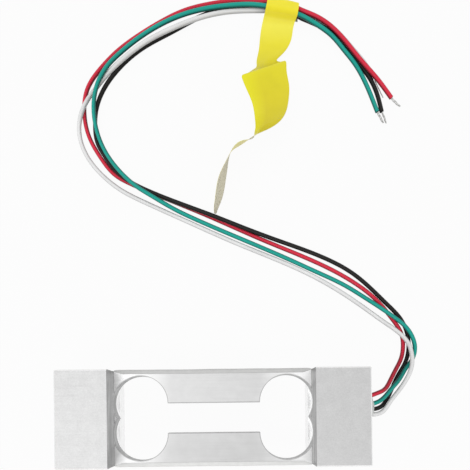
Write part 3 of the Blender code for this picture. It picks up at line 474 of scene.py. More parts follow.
# %% The two beads
FLEXURE_Y = 10.35 * MM
BAR_SIDE = BAR_HIGH[1]
RECESS_X = (-23.3 * MM, 22.7 * MM)
RAMP = 1.8 * MM
BEAD_PROUD = 0.47 * MM
BEAD_LIP = 0.45 * MM
BEAD_HALF_WIDTH = 1.36 * MM
BEAD_GAP = 0.03 * MM
BEAD_TAPER = 1.3 * MM
BEAD_STATIONS = 240
BEAD_ARC_POINTS = 26
CHANNEL_HALF_WIDTH = 1.1 * MM
CHANNEL_DEPTH = 0.5 * MM
CHANNEL_ROOF = 0.24 * MM
CHANNEL_FROM_END = 1.5 * MM
CHANNEL_TAPER = 1.0 * MM


def waves(x, side):
    """A slow unevenness from -1 to 1: three sines of lengths that never meet."""
    return (np.sin(x / (3.1 * MM) + side) + np.sin(x / (1.7 * MM) + 2 * side) + np.sin(x / (5.3 * MM))) / 3


def bead_mesh(name, side):
    """A D-shaped loop at each station along the bar.

    Across the bar the loop rises from the bar's edge as a power of a sine, so its top is flat and its
    shoulders round; below runs a channel that leaves room for the gauges. Towards both ends it thins out.
    """
    x = np.linspace(RECESS_X[0] - BEAD_LIP, RECESS_X[1] + BEAD_LIP, BEAD_STATIONS)[:, None]
    ramp_x = [RECESS_X[0], RECESS_X[0] + RAMP, RECESS_X[1] - RAMP, RECESS_X[1]]
    base = np.interp(x, ramp_x, [BAR_SIDE, FLEXURE_Y, FLEXURE_Y, BAR_SIDE]) + BEAD_GAP
    to_end = np.minimum(x - x[0], x[-1] - x)
    body = np.sqrt(1 - (1 - np.clip(to_end / BEAD_TAPER, 0, 1)) ** 2)
    top = BAR_SIDE + BEAD_GAP + (BEAD_PROUD - BEAD_GAP) * (0.12 + 0.88 * body) * (1 + 0.10 * waves(x, side))
    half = BEAD_HALF_WIDTH * (0.45 + 0.55 * body) * (1 + 0.02 * waves(x + 9 * MM, side))
    arc = np.linspace(0, math.pi, BEAD_ARC_POINTS)[None, :]
    outer_z = -half * np.sign(np.cos(arc)) * np.abs(np.cos(arc)) ** 0.7
    outer_y = base + (top - base) * np.sin(arc) ** 0.45
    depth = CHANNEL_DEPTH * np.clip((to_end - CHANNEL_FROM_END) / CHANNEL_TAPER, 0, 1)
    roof = np.maximum(np.minimum(base + depth, top - CHANNEL_ROOF), base)
    channel = np.minimum(CHANNEL_HALF_WIDTH, half * 0.8)
    y = np.concatenate([outer_y, base, roof, roof, base], axis=1)
    z = np.concatenate([outer_z, channel, channel, -channel, -channel], axis=1)
    grid = np.stack([np.broadcast_to(x, y.shape), side * y, MID_Z + z], axis=-1)
    return make_surface(name, grid, caps=True)


for name, side in (("upper", 1), ("lower", -1)):
    add_piece(bead_mesh(name + "_silicone_bead", side), "sealant", name + "_sealant")
print("beads from", RECESS_X[0] - BEAD_LIP, "to", RECESS_X[1] + BEAD_LIP)

# %% The dab over the leads
DAB_CENTRE = np.array([END_FACE_X, 2.3 * MM, MID_Z])
DAB_RADIUS = 4.2 * MM
DAB_HEIGHT = 2.2 * MM
DAB_RINGS = 60
DAB_SIDES = 96
MENISCUS_HEIGHT = 0.7 * MM
MENISCUS_RADIUS = 0.8 * MM


def dab_mesh():
    """A dome in polar form: out from the middle by the sine of an angle, up by its cosine.

    The outline swells by a few per cent round the way, and each lead draws the skin up in a bell round it.
    """
    angle = np.linspace(0.02, math.pi / 2, DAB_RINGS)[:, None]
    turn = np.linspace(0, 2 * math.pi, DAB_SIDES, endpoint=False)[None, :]
    swell = 1 + 0.04 * np.sin(2 * turn + 1) + 0.025 * np.sin(3 * turn) + 0.012 * np.sin(7 * turn)
    reach = DAB_RADIUS * np.sin(angle) * swell
    y, z = DAB_CENTRE[1] + reach * np.cos(turn), DAB_CENTRE[2] + reach * np.sin(turn)
    rise = DAB_HEIGHT * np.cos(angle) ** 0.8 * np.ones_like(turn)
    for line in lead_lines.values():
        k = np.argmax(line[:, 0] > END_FACE_X + DAB_HEIGHT)
        away = (y - line[k, 1]) ** 2 + (z - line[k, 2]) ** 2
        rise = rise + MENISCUS_HEIGHT * np.exp(-away / MENISCUS_RADIUS ** 2) * np.cos(angle)
    grid = np.stack([DAB_CENTRE[0] + BEAD_GAP + rise, y, z], axis=-1)
    return make_surface("silicone_dab", grid, caps=True)


dab = add_piece(dab_mesh(), "exit_sealant", "exit_sealant")
print("dab:", DAB_RADIUS, "round,", DAB_HEIGHT, "high")

# %% [markdown]
# ## The leads
# Each lead is a free cord with its real length and thickness, and the tape and the dab sit on the leads. The
# cell below only lists the leads by colour.

# %% Cords
for colour, lead in leads.items():
    line = lead_lines[colour]
print("cords:", list(leads))

# %% [markdown]
# ## Threads
# The eight mounting holes are tapped M3. A thread is a groove that climbs as it turns: its depth depends on
# the height minus the pitch times the turn. CAD keeps the holes plain, so each one gets a thin threaded
# liner. A screw modifier could turn a profile too, but a grid closes its own ends.

# %% Threads in the tapped holes
THREAD_PITCH = 0.5 * MM
THREAD_OUTER = 1.245 * MM
THREAD_ROOT = 1.225 * MM
THREAD_CREST = 1.02 * MM
THREAD_DEPTH = 7.0 * MM
THREAD_START = 0.45 * MM
THREAD_SIDES = 36
ROWS_PER_TURN = 8
TAP_X = (-29 * MM, 29 * MM)
TAP_Z = (3.5 * MM, 11.5 * MM)


def thread_mesh(name, x, side, z):
    """A closed liner: in along the threaded inside, back along the plain outside.

    Inside, the radius swings between root and crest as a triangle wave of depth over pitch less the turn.
    """
    rows = round(THREAD_DEPTH / THREAD_PITCH * ROWS_PER_TURN)
    deep = np.linspace(THREAD_START, THREAD_DEPTH, rows)[:, None]
    turn = np.linspace(0, 2 * math.pi, THREAD_SIDES, endpoint=False)[None, :]
    phase = deep / THREAD_PITCH - turn / (2 * math.pi)
    wave = np.abs(2 * (phase % 1) - 1)
    lead_in = np.clip((deep - THREAD_START) / THREAD_PITCH, 0, 1)
    inside = THREAD_ROOT - (THREAD_ROOT - THREAD_CREST) * wave * lead_in
    outside = np.full((2, THREAD_SIDES), THREAD_OUTER)
    radius = np.concatenate([inside, outside])
    depth = np.concatenate([deep, deep[[-1, 0]]]) * np.ones_like(turn)
    wide, high = x + radius * np.cos(turn), z + radius * np.sin(turn)
    return make_surface(name, np.stack([wide, side * (BAR_SIDE - depth), high], axis=-1), close_rows=True)


for end, x in zip(("free", "cable"), TAP_X):
    for name, side in (("upper", 1), ("lower", -1)):
        for level, z in zip(("low", "high"), TAP_Z):
            add_piece(thread_mesh(f"{end}_end_{name}_thread_{level}", x, side, z), "aluminium", sharp=math.pi)
print("8 threads of", round(THREAD_DEPTH / THREAD_PITCH), "turns")

# %% [markdown]
# ## Colours and nodes
# Colours are written as the screen shows them and turned into the linear values that a renderer works with.
# A material is a Principled shader whose uniform values sit on its own sockets, plus a few nodes that vary
# colour, roughness or height over the surface. One function adds any node.


# %% Colour and node helpers
def linear(code):
    """Linear RGBA from an sRGB hex code: a straight foot below 0.04045, and a power of 2.4 above it."""
    screen = np.array([int(code[i:i + 2], 16) for i in (1, 3, 5)]) / 255
    light = np.where(screen <= 0.04045, screen / 12.92, ((screen + 0.055) / 1.055) ** 2.4)
    return (*light.tolist(), 1.0)


def link(tree, value, socket):
    """Link an output to a socket; a node stands for its first output."""
    tree.links.new(value.outputs[0] if isinstance(value, bpy.types.Node) else value, socket)


def add_node(tree, kind, sockets=None, **settings):
    """Add a node of one kind, set its properties, and fill its sockets with values or links."""
    node = tree.nodes.new("ShaderNode" + kind)
    for name, value in settings.items():
        setattr(node, name, value)
    for socket, value in (sockets or {}).items():
        if isinstance(value, (bpy.types.Node, bpy.types.NodeSocket)):
            link(tree, value, node.inputs[socket])
        else:
            node.inputs[socket].default_value = value
    return node


def start_material(name, code, roughness, metallic=0.0, **uniform):
    """A Principled material with its even values; returns it, its node tree and its shader."""
    material = bpy.data.materials.new(name)
    material.use_nodes = True
    tree = material.node_tree
    shader = tree.nodes["Principled BSDF"]
    even = {"Base Color": linear(code), "Roughness": roughness, "Metallic": metallic}
    even.update({key.replace("_", " "): value for key, value in uniform.items()})
    for socket, value in even.items():
        shader.inputs[socket].default_value = value
    return material, tree, shader


def vary(tree, shader, colour, height, strength, depth):
    """Let the colour vary over the surface, and a height bend its shading by a strength and a depth."""
    link(tree, colour, shader.inputs["Base Color"])
    bump = add_node(tree, "Bump", {"Strength": strength, "Distance": depth, "Height": height})
    link(tree, bump, shader.inputs["Normal"])


def dress(material, *names):
    """Give a material to pieces or CAD nodes."""
    for name in names:
        data = bpy.data.objects[name].data
        data.materials.clear()
        data.materials.append(material)


print("middle grey", linear("#808080")[:3])

# %% [markdown]
# ## Milled aluminium
# The bar is cut from 2000-series aluminium, milled all over and given a thin clear anodising, which turns the
# shine soft and slightly speckled. The end faces show a fine matt grain, the web shows the long marks of the
# cutter, and the side-milled walls of the recess above it are streaked, with painted shade that makes them
# darker. The broken edges carry a painted highlight, and the walls below the web are painted white, a painted
# reflection of the table. On the web, painted light brightens it by the lobes and by the walls, and painted
# shade darkens it towards the front and in a thin dark line round the rim of the cut-out. The marks are noise
# stretched along the cutter's way; where a surface faces comes from its normal, and which face it is from its
# place on the bar. Grain and marks are too fine on the real bar for a picture of this size, so both are drawn
# coarser.

# %% Aluminium of the bar
GRAIN = 0.28 * MM
MARK_LENGTH = 9 * MM
MARK_WIDTH = 0.22 * MM
WALL_MARK_WIDTH = 0.9 * MM
CLOUD = 2 * MM
CUTOUT_SHIFT = 0.1 * MM
LOBE_X = 17.2 * MM
LOBE_Y = 3.55 * MM
LOBE_RADIUS = 6.4 * MM
SLOT_Y = 3.5 * MM
BEYOND_LOBE_SLOPE = 50.0
# A thin line of painted shade round the cut-out's rim: its width and its tone.
RIM_WIDTH = 0.22 * MM
RIM_SHADE_TONE = 0.66
WEB_FACES_WITHIN = 1.6 * MM
UNDER_WEB = -1.45 * MM
RECESS_WITHIN = 24.2 * MM
BAR_TONES = {
    # The bar's own tone on upright faces outside the recess; on the broken edges its brightness is a painted
    # highlight.
    "bar": "#F2F2F2",
    "end": "#CBCBCB",
    "web": "#D2D2D2",
    # The web's two lighter tones, by the lobes and by the walls, are painted light.
    "web in painted light by the lobes": "#E9E9E9",
    "web in painted light by the walls": "#FFFFFF",
    # The walls' dark tones are painted shade in the recess, streaked by the side mill's marks.
    "wall": "#959595",
    "wall in painted shade between streaks": "#B8B8B8",
    # Under the web the walls are painted white, a painted reflection of the table.
    "under the web": "#FFFFFF",
}


def painted_rim_shade(tree, xyz):
    """Painted shade on the web round the cut-out: dark in a thin line at its rim, one elsewhere.

    The cut-out is mirrored both ways, so sizes without sign do: the distance to a lobe's circle is the length
    from its centre less its radius, and between the lobes the slot's edge may be nearer. Past a lobe's centre
    there is no slot, so the distance to it grows steeply there.
    """
    shifted = add_node(tree, "Math", {0: xyz.outputs["X"], 1: CUTOUT_SHIFT}, operation="ADD")
    out = add_node(tree, "Math", {0: shifted}, operation="ABSOLUTE")
    past = add_node(tree, "Math", {0: out, 1: LOBE_X}, operation="SUBTRACT")
    up = add_node(tree, "Math", {0: xyz.outputs["Y"]}, operation="ABSOLUTE")
    above = add_node(tree, "Math", {0: up, 1: LOBE_Y}, operation="SUBTRACT")
    from_lobe = add_node(tree, "CombineXYZ", {0: past, 1: above})
    reach = add_node(tree, "VectorMath", {0: from_lobe}, operation="LENGTH").outputs["Value"]
    to_lobe = add_node(tree, "Math", {0: reach, 1: LOBE_RADIUS}, operation="SUBTRACT")
    to_slot = add_node(tree, "Math", {0: up, 1: SLOT_Y}, operation="SUBTRACT")
    beyond = add_node(tree, "Math", {0: past, 1: 0.0}, operation="MAXIMUM")
    to_slot = add_node(tree, "Math", {0: beyond, 1: BEYOND_LOBE_SLOPE, 2: to_slot}, operation="MULTIPLY_ADD")
    gap = add_node(tree, "Math", {0: to_lobe, 1: to_slot}, operation="MINIMUM")
    fade = {0: gap, 1: 0.6 * RIM_WIDTH, 2: RIM_WIDTH, 3: RIM_SHADE_TONE, 4: 1.0}
    return add_node(tree, "MapRange", fade, interpolation_type="SMOOTHSTEP")


def bar_surfaces(tree, xyz, from_middle):
    """Four shares, one or nought: flat, web, wall and under the web.

    A surface is flat where its normal is nearly along Z, and the web is what is flat near the middle height.
    Within the recess, all that stands upright or lies under the web counts as wall.
    """
    facing = add_node(tree, "NewGeometry").outputs["Normal"]
    face = add_node(tree, "SeparateXYZ", {0: facing})
    level = add_node(tree, "Math", {0: face.outputs["Z"]}, operation="ABSOLUTE")
    height = add_node(tree, "Math", {0: xyz.outputs["Z"], 1: MID_Z}, operation="SUBTRACT")
    away = add_node(tree, "Math", {0: height}, operation="ABSOLUTE")
    flat = add_node(tree, "Math", {0: level, 1: 0.9}, operation="GREATER_THAN")
    near = add_node(tree, "Math", {0: away, 1: WEB_FACES_WITHIN}, operation="LESS_THAN")
    web = add_node(tree, "Math", {0: flat, 1: near}, operation="MULTIPLY")
    within = add_node(tree, "Math", {0: from_middle, 1: RECESS_WITHIN}, operation="LESS_THAN")
    upright = add_node(tree, "Math", {0: level, 1: 0.4}, operation="LESS_THAN")
    under = add_node(tree, "Math", {0: height, 1: UNDER_WEB}, operation="LESS_THAN")
    inner = add_node(tree, "Math", {0: upright, 1: under}, operation="MAXIMUM")
    wall = add_node(tree, "Math", {0: within, 1: inner}, operation="MULTIPLY")
    return flat, web, wall, under


def milled_aluminium():
    """Aluminium with a matt grain on its ends, cutter marks on the web and streaked walls, and painted light
    and shade: a dark rim line and lighter and darker stretches on the web, darker walls, white under the web,
    and bright broken edges.
    """
    material, tree, shader = start_material("clear_anodised_milled_aluminium", BAR_TONES["end"], 0.42, 1.0)
    place = add_node(tree, "TexCoord").outputs["Object"]
    xyz = add_node(tree, "SeparateXYZ", {0: place})
    from_middle = add_node(tree, "Math", {0: xyz.outputs["X"]}, operation="ABSOLUTE")
    flat, web, wall, under = bar_surfaces(tree, xyz, from_middle)

    speck = add_node(tree, "TexNoise", {"Vector": place, "Scale": 1 / GRAIN, "Detail": 2.0, "Roughness": 0.6})
    cloud = add_node(tree, "TexNoise", {"Vector": place, "Scale": 1 / CLOUD, "Detail": 2.0})
    along_web = (1 / MARK_LENGTH, 1 / MARK_WIDTH, 1 / MARK_WIDTH)
    marks_at = add_node(tree, "Mapping", {"Vector": place, "Scale": along_web})
    marks = add_node(tree, "TexNoise", {"Vector": marks_at, "Scale": 1.0, "Detail": 3.0})
    along_wall = (1 / WALL_MARK_WIDTH, 1 / MARK_LENGTH, 1 / WALL_MARK_WIDTH)
    streaks_at = add_node(tree, "Mapping", {"Vector": place, "Scale": along_wall})
    streaks = add_node(tree, "TexNoise", {"Vector": streaks_at, "Scale": 1.0, "Detail": 2.0})

    # Each range holds what it reads, its low and high end there, and what it gives for the two.
    ranges = {
        # Where painted light brightens the web by the walls.
        "by the walls": (from_middle, 17 * MM, 20 * MM, 0.0, 1.0),
        "between streaks": (streaks, 0.35, 0.65, 0.0, 1.0),
        "end grain": (speck, 0.3, 0.7, 0.93, 1.05),
        "web marks": (marks, 0.3, 0.7, 0.965, 1.02),
        "clouds": (cloud, 0.3, 0.7, 0.97, 1.02),
        # Painted shade darkens the web towards the front.
        "painted shade to the front": (xyz.outputs["Y"], -8 * MM, 4 * MM, 0.86, 1.0),
        "roughness": (marks, 0.3, 0.7, 0.36, 0.5),
    }
    share = {name: add_node(tree, "MapRange", dict(enumerate(values))) for name, values in ranges.items()}
    # Where painted light brightens the web by the lobes.
    painted_light_by_lobes = {0: from_middle, 1: 9 * MM, 2: 17 * MM, 3: 0.0, 4: 1.0}
    painted_light_by_lobes = add_node(tree, "MapRange", painted_light_by_lobes, interpolation_type="SMOOTHSTEP")

    # Each layer lays another tone over a surface's own, by the share in the middle.
    layers = (
        ("web", painted_light_by_lobes, "web in painted light by the lobes"),
        ("web", share["by the walls"], "web in painted light by the walls"),
        ("wall", share["between streaks"], "wall in painted shade between streaks"),
        # The walls under the web take their painted reflection of the table here.
        ("wall", under, "under the web"),
        # What no layer covers, such as the broken edges with their painted highlight, keeps the bar's tone.
        ("bar", flat, "end"),
        ("bar", web, "web"),
        # The walls of the recess take their painted shade here.
        ("bar", wall, "wall"),
    )
    colour = {name: linear(code) for name, code in BAR_TONES.items()}
    for surface, part, above in layers:
        sockets = {0: part, 6: colour[surface], 7: colour[above]}
        colour[surface] = add_node(tree, "Mix", sockets, data_type="RGBA").outputs[2]

    # On the web the cutter marks are multiplied by painted shade: towards the front, and in a thin line at
    # the cut-out's rim.
    web_marks_and_shade = share["web marks"]
    for factor in (share["painted shade to the front"], painted_rim_shade(tree, xyz)):
        web_marks_and_shade = add_node(tree, "Math", {0: web_marks_and_shade, 1: factor}, operation="MULTIPLY")
    # On the web this grain carries the painted shade as well.
    grain = add_node(tree, "Mix", {0: web, 2: share["end grain"], 3: web_marks_and_shade}, data_type="FLOAT")
    tone = add_node(tree, "Math", {0: grain, 1: share["clouds"]}, operation="MULTIPLY")
    toned = add_node(tree, "VectorMath", {0: colour["bar"], 1: tone}, operation="MULTIPLY")
    link(tree, share["roughness"], shader.inputs["Roughness"])
    relief = add_node(tree, "Mix", {0: web, 2: speck, 3: marks}, data_type="FLOAT")
    vary(tree, shader, toned, relief, 0.35, 0.02 * MM)
    return material


aluminium = milled_aluminium()
dress(aluminium, "elastic_body")
thread_names = [piece.name for piece in bpy.data.objects if "_thread_" in piece.name]
cut_thread, tree, shader = start_material("cut_thread_aluminium", "#B9BABB", 0.3, 1.0)
place = add_node(tree, "TexCoord").outputs["Object"]
chatter = add_node(tree, "TexNoise", {"Vector": place, "Scale": 1 / (0.15 * MM)})
bump = add_node(tree, "Bump", {"Strength": 0.3, "Distance": 0.01 * MM, "Height": chatter})
link(tree, bump, shader.inputs["Normal"])
dress(cut_thread, *thread_names)
print("aluminium on the bar and", len(thread_names), "threads")

# %% [markdown]
# ## PVC insulation
# The leads are coloured PVC, extruded over the strands: an even colour, a waxy gloss, and a faint unevenness
# along the lead. The pattern reads the coordinate that follows the lead, so it bends with it. Its ripple is
# drawn coarser than on real wire, to show at all. The soft light here leaves a round wire flatter than the
# photograph does, so the tone also deepens where the surface turns away from above and a little in front.

# %% PVC of the four leads
# Colour, roughness, specular level, and the share of the tone that stays on the shaded side.
PVC = {
    "black": ("#242322", 0.3, 0.12, 0.1),
    "red": ("#D62F45", 0.25, 0.16, 0.32),
    "green": ("#1C9E90", 0.25, 0.16, 0.3),
    "white": ("#E2E2E2", 0.3, 0.3, 0.78),
}
LIT_SIDE = (-0.15, -0.3, 0.94)
DRIFT = 7 * MM
RIPPLE = 0.4 * MM


def extruded_pvc(colour, code, roughness, specular, deepest):
    """PVC whose tone and gloss drift slowly along the lead, and whose tone is deeper away from the lit side.

    How far a surface turns to the lit side is the dot product of its normal and that side's direction.
    """
    even = {"IOR": 1.53, "Specular_IOR_Level": specular}
    material, tree, shader = start_material(colour + "_extruded_pvc", code, roughness, **even)
    follow = add_node(tree, "Attribute", attribute_name="follow").outputs["Vector"]
    slow = add_node(tree, "TexNoise", {"Vector": follow, "Scale": 1 / DRIFT, "Detail": 1.0})
    fine = add_node(tree, "TexNoise", {"Vector": follow, "Scale": 1 / RIPPLE, "Detail": 2.0})
    drift = add_node(tree, "MapRange", {0: slow, 1: 0.3, 2: 0.7, 3: 0.95, 4: 1.05})
    facing = add_node(tree, "NewGeometry").outputs["Normal"]
    turned = add_node(tree, "VectorMath", {0: facing, 1: LIT_SIDE}, operation="DOT_PRODUCT").outputs["Value"]
    lit = add_node(tree, "MapRange", {0: turned, 1: 0.4, 2: 0.93, 3: deepest, 4: 1.12})
    tone = add_node(tree, "Math", {0: drift, 1: lit}, operation="MULTIPLY")
    mixed = add_node(tree, "VectorMath", {0: linear(code)[:3], 1: tone}, operation="MULTIPLY")
    gloss = add_node(tree, "MapRange", {0: slow, 1: 0.3, 2: 0.7, 3: roughness - 0.05, 4: roughness + 0.05})
    link(tree, gloss, shader.inputs["Roughness"])
    vary(tree, shader, mixed, fine, 0.06, 0.02 * MM)
    return material


for colour, finish in PVC.items():
    dress(extruded_pvc(colour, *finish), colour + "_lead")
print("PVC on", list(PVC))

# %% [markdown]
# ## Tin, tape and silicone
# The stripped ends were dipped in solder, which leaves a bright, uneven skin. The tape is glossy coloured
# film on its face; its back carries dull adhesive that has picked up dust and dark specks. Along the tape the
# film's tone holds painted light and shade: it is brighter where it turns up to the light, deeper before the
# fold, and paler at the twist of the tail. Those tones are set at a few stations, against the photograph, and
# a ramp joins them. They are part of the film here, so they don't follow another light. Silicone is milky and
# slightly glossy; the upper bead is greyer with painted shade and the lower one paler with painted light.

# %% Tinned strands
tin, tree, shader = start_material("solder_dipped_strands", "#C4C4C2", 0.2, 1.0)
follow = add_node(tree, "Attribute", attribute_name="follow").outputs["Vector"]
blotch = add_node(tree, "TexNoise", {"Vector": follow, "Scale": 1 / (0.5 * MM), "Detail": 2.0})
tone = add_node(tree, "MapRange", {0: blotch, 1: 0.3, 2: 0.7, 3: 0.8, 4: 1.05})
mixed = add_node(tree, "VectorMath", {0: linear("#C4C4C2")[:3], 1: tone}, operation="MULTIPLY")
vary(tree, shader, mixed, blotch, 0.2, 0.01 * MM)
dress(tin, *(piece.name for bundle in strands.values() for piece in bundle))
print("tin on", len(strands), "stripped ends")

# %% Yellow film and its adhesive side
# A station along the tape, and the film's tone there, with painted light and shade in it.
FILM_TONES_WITH_PAINTED_LIGHT = [
    (0, "#E8DC20"), (5, "#FFF12E"), (8, "#FFF12E"), (9, "#EFDF20"), (11, "#FFF656"), (12.6, "#F6EA30"),
    (17.2, "#D4C51C"), (17.5, "#EFE526"), (21, "#E4D628"), (24.3, "#DCCE38"), (25.5, "#D8CC60"),
    (28.3, "#D8CC60"), (29.5, "#DCCE38"),
]
FOLD_STATION = 17.4
FILM_GLOSS = 0.35
ADHESIVE_GLOSS = 0.6

even = {"IOR": 1.5, "Specular_IOR_Level": 0.3}
film, tree, shader = start_material("glossy_yellow_film_tape", FILM_TONES_WITH_PAINTED_LIGHT[0][1], FILM_GLOSS, **even)
follow = add_node(tree, "Attribute", attribute_name="follow").outputs["Vector"]
station, across, side = add_node(tree, "SeparateXYZ", {0: follow}).outputs
share = add_node(tree, "Math", {0: station, 1: LAST_STATION}, operation="DIVIDE")
shades = add_node(tree, "ValToRGB", {0: share})
stops = shades.color_ramp.elements
stops.remove(stops[1])
stops[0].color = linear(FILM_TONES_WITH_PAINTED_LIGHT[0][1])
for at, code in FILM_TONES_WITH_PAINTED_LIGHT[1:]:
    stop = stops.new(at / LAST_STATION)
    stop.color = linear(code)
place = add_node(tree, "TexCoord").outputs["Object"]
cloud = add_node(tree, "TexNoise", {"Vector": place, "Scale": 1 / (4 * MM), "Detail": 2.0})
dust = add_node(tree, "TexNoise", {"Vector": place, "Scale": 1 / (0.5 * MM), "Detail": 3.0})
uneven = add_node(tree, "MapRange", {0: cloud, 1: 0.3, 2: 0.7, 3: 0.97, 4: 1.02})
yellow = add_node(tree, "VectorMath", {0: shades, 1: uneven}, operation="MULTIPLY")
# Past the fold the film curls up at its left rim, where a painted highlight brightens it.
lower = add_node(tree, "Math", {0: station, 1: FOLD_STATION}, operation="GREATER_THAN")
near_rim = add_node(tree, "MapRange", {0: across, 1: 0.3 * MM, 2: 3 * MM, 3: 0.8, 4: 0.0})
painted_rim_highlight = add_node(tree, "Math", {0: lower, 1: near_rim}, operation="MULTIPLY")
yellow = add_node(tree, "Mix", {0: painted_rim_highlight, 6: yellow, 7: linear("#F4EE22")}, data_type="RGBA")
is_speck = add_node(tree, "MapRange", {0: dust, 1: 0.56, 2: 0.66, 3: 0.0, 4: 1.0})
sticky = add_node(tree, "Mix", {0: is_speck, 6: linear("#EAE4CA"), 7: linear("#A8A088")}, data_type="RGBA")
both = add_node(tree, "Mix", {0: side, 6: yellow.outputs[2], 7: sticky.outputs[2]}, data_type="RGBA")
gloss = add_node(tree, "MapRange", {0: side, 1: 0.0, 2: 1.0, 3: FILM_GLOSS, 4: ADHESIVE_GLOSS})
link(tree, gloss, shader.inputs["Roughness"])
vary(tree, shader, both.outputs[2], cloud, 0.25, 0.05 * MM)
dress(film, "yellow_tape")
print("tape face and back")


# %% Silicone of the beads and the dab
def cured_silicone(name, code, roughness, lump):
    """Milky silicone with soft lumps and a slight change of tone."""
    material, tree, shader = start_material(name, code, roughness, IOR=1.41)
    place = add_node(tree, "TexCoord").outputs["Object"]
    lumps = add_node(tree, "TexNoise", {"Vector": place, "Scale": 1 / lump, "Detail": 2.0})
    tone = add_node(tree, "MapRange", {0: lumps, 1: 0.3, 2: 0.7, 3: 0.94, 4: 1.02})
    mixed = add_node(tree, "VectorMath", {0: linear(code)[:3], 1: tone}, operation="MULTIPLY")
    vary(tree, shader, mixed, lumps, 0.3, 0.08 * MM)
    return material


# One silicone in a shaded and a lit copy: the upper bead is greyer with painted shade, the lower one paler
# with painted light.
dress(cured_silicone("grey_white_silicone", "#CECECD", 0.4, 1.5 * MM), "upper_silicone_bead")
dress(cured_silicone("white_silicone", "#E6E6E5", 0.4, 1.5 * MM), "lower_silicone_bead")
dress(cured_silicone("milky_silicone", "#D5D8D6", 0.3, 1.2 * MM), "silicone_dab")
print("silicone on the beads and the dab")

# %% [markdown]
# ## Under the silicone
# The gauges, strips and thin leads are hidden in use, but each keeps the finish of the real one: amber
# polyimide film, grey constantan foil, green laminate with tinned pads, and red-brown enamelled copper.

# %% Finishes of the hidden pieces
gauges = [f"{edge}_{end}_gauge" for edge in ("upper", "lower") for end in ("left", "right")]


def mottled(name, code, other, size, roughness, metallic=0.0):
    """A finish that drifts between two colours over a given size, with a relief of the same pattern."""
    material, tree, shader = start_material(name, code, roughness, metallic)
    place = add_node(tree, "TexCoord").outputs["Object"]
    drift = add_node(tree, "TexNoise", {"Vector": place, "Scale": 1 / size, "Detail": 2.0})
    mixed = add_node(tree, "Mix", {0: drift, 6: linear(code), 7: linear(other)}, data_type="RGBA")
    vary(tree, shader, mixed.outputs[2], drift, 0.2, 0.01 * MM)
    return material


amber = mottled("amber_polyimide_film", "#C07A22", "#D5953A", 0.8 * MM, 0.3)
dress(amber, *(gauge + "_film" for gauge in gauges))
foil = mottled("etched_constantan_foil", "#A79A86", "#BDB19B", 0.1 * MM, 0.35, 1.0)
dress(foil, *(gauge + "_foil" for gauge in gauges))
enamel = mottled("enamelled_copper_wire", "#8E4222", "#A9562C", 0.6 * MM, 0.25, 0.6)
dress(enamel, *(f"{gauge}_lead_{label}" for gauge in gauges for label in "ab"))
dress(enamel, *(colour + "_body_lead" for colour in ROUTES))
sleeve = mottled("shrunk_polyolefin_sleeve", "#17181A", "#232427", 0.5 * MM, 0.5)
dress(sleeve, *(colour + "_sleeve" for colour in ROUTES))
inner_tin = mottled("tinned_inner_strands", "#BDBDBA", "#D2D2CF", 0.3 * MM, 0.3, 1.0)
dress(inner_tin, *(colour + "_inner_strands" for colour in ROUTES))
print(len(gauges), "gauges dressed")

# %% Laminate of the terminal strips
WEAVE = 0.25 * MM
PAD_PITCH = 2.2 * MM
PAD_WIDTH = 0.9 * MM

laminate, tree, shader = start_material("glass_epoxy_laminate", "#4E7A3C", 0.42)
place = add_node(tree, "TexCoord").outputs["Object"]
squares = {"Vector": place, "Scale": 1 / WEAVE, "Color1": linear("#4E7A3C"), "Color2": linear("#5A8746")}
weave = add_node(tree, "TexChecker", squares)
across = add_node(tree, "SeparateXYZ", {0: place})
pads = add_node(tree, "Math", {0: across.outputs["X"], 1: PAD_PITCH / 2}, operation="PINGPONG")
is_pad = add_node(tree, "Math", {0: pads, 1: PAD_WIDTH / 2}, operation="LESS_THAN")
mixed = add_node(tree, "Mix", {0: is_pad, 6: weave, 7: linear("#C9C9C4")}, data_type="RGBA")
link(tree, mixed.outputs[2], shader.inputs["Base Color"])
link(tree, is_pad, shader.inputs["Metallic"])
dress(laminate, "upper_terminal_strip", "lower_terminal_strip")
print("terminal strips dressed")

# %% [markdown]
# ## Table and light
# The photograph has a pure white ground, soft light from the front and a little more of it on the left. The
# floor gives off most of its white by itself to the camera and to reflections, and the rest is plain diffuse
# paper, so the object's shadow stays faintly visible. The sky is white wherever it is seen or mirrored, and
# weaker as a lamp, so that two soft lamps can shape the leads and the metal. Both lean away from the object,
# and only the weaker edge of their light reaches it.

# %% Floor
FLOOR_SIZE = 3.0
FLOOR_GAP = 0.02 * MM
FLOOR_GLOW = 0.95


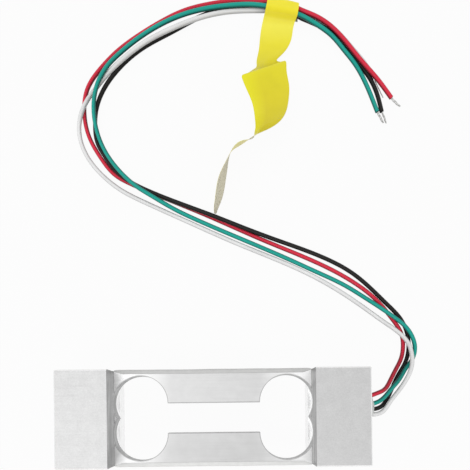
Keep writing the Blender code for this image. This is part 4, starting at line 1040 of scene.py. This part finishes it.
def seen_or_mirrored(tree):
    """One for camera, glossy and transmission rays, and nought for the rest."""
    rays = add_node(tree, "LightPath").outputs
    through = {0: rays["Is Glossy Ray"], 1: rays["Is Transmission Ray"]}
    mirrored = add_node(tree, "Math", through, operation="MAXIMUM")
    return add_node(tree, "Math", {0: rays["Is Camera Ray"], 1: mirrored}, operation="MAXIMUM")


mesh = bpy.data.meshes.new("floor")
half = FLOOR_SIZE / 2
around = [(-half, -half), (half, -half), (half, half), (-half, half)]
mesh.from_pydata([(x, y, -FLOOR_GAP) for x, y in around], [], [(0, 1, 2, 3)])
floor = bpy.data.objects.new("floor", mesh)
bpy.context.scene.collection.objects.link(floor)
paper, tree, shader = start_material("white_paper", "#C4C4C4", 0.9)
glow = add_node(tree, "Emission", {"Color": (1, 1, 1, 1), "Strength": 1.0})
share = add_node(tree, "Math", {0: seen_or_mirrored(tree), 1: FLOOR_GLOW}, operation="MULTIPLY")
mixed = add_node(tree, "MixShader", {0: share, 1: shader, 2: glow})
link(tree, mixed, tree.nodes["Material Output"].inputs["Surface"])
dress(paper, "floor")
print("floor", FLOOR_SIZE, "m")

# %% Sky and lamp
SKY_AS_LAMP = 0.8
# Place, size in metres and power in watts of each lamp.
LAMPS = {
    "front_softbox": ((-0.10, -0.38, 0.52), 0.30, 2.0),
    "left_softbox": ((-0.34, 0.02, 0.62), 0.60, 0.52),
}

world = bpy.data.worlds.new("white_room")
world.use_nodes = True
tree = world.node_tree
background = tree.nodes["Background"]
background.inputs["Color"].default_value = (1, 1, 1, 1)
brighter = {0: seen_or_mirrored(tree), 1: 1 - SKY_AS_LAMP, 2: SKY_AS_LAMP}
strength = add_node(tree, "Math", brighter, operation="MULTIPLY_ADD")
link(tree, strength, background.inputs["Strength"])
bpy.context.scene.world = world

for name, (place, size, power) in LAMPS.items():
    lamp_data = bpy.data.lights.new(name, "AREA")
    lamp_data.shape = "DISK"
    lamp_data.size = size
    lamp_data.energy = power
    lamp = bpy.data.objects.new(name, lamp_data)
    lamp.location = place
    lean = math.atan2(math.hypot(place[0], place[1]), place[2])
    lamp.rotation_euler = (lean, 0, math.atan2(-place[0], place[1]))
    bpy.context.scene.collection.objects.link(lamp)
bpy.context.scene.view_settings.view_transform = "Standard"
print("lamps:", list(LAMPS))
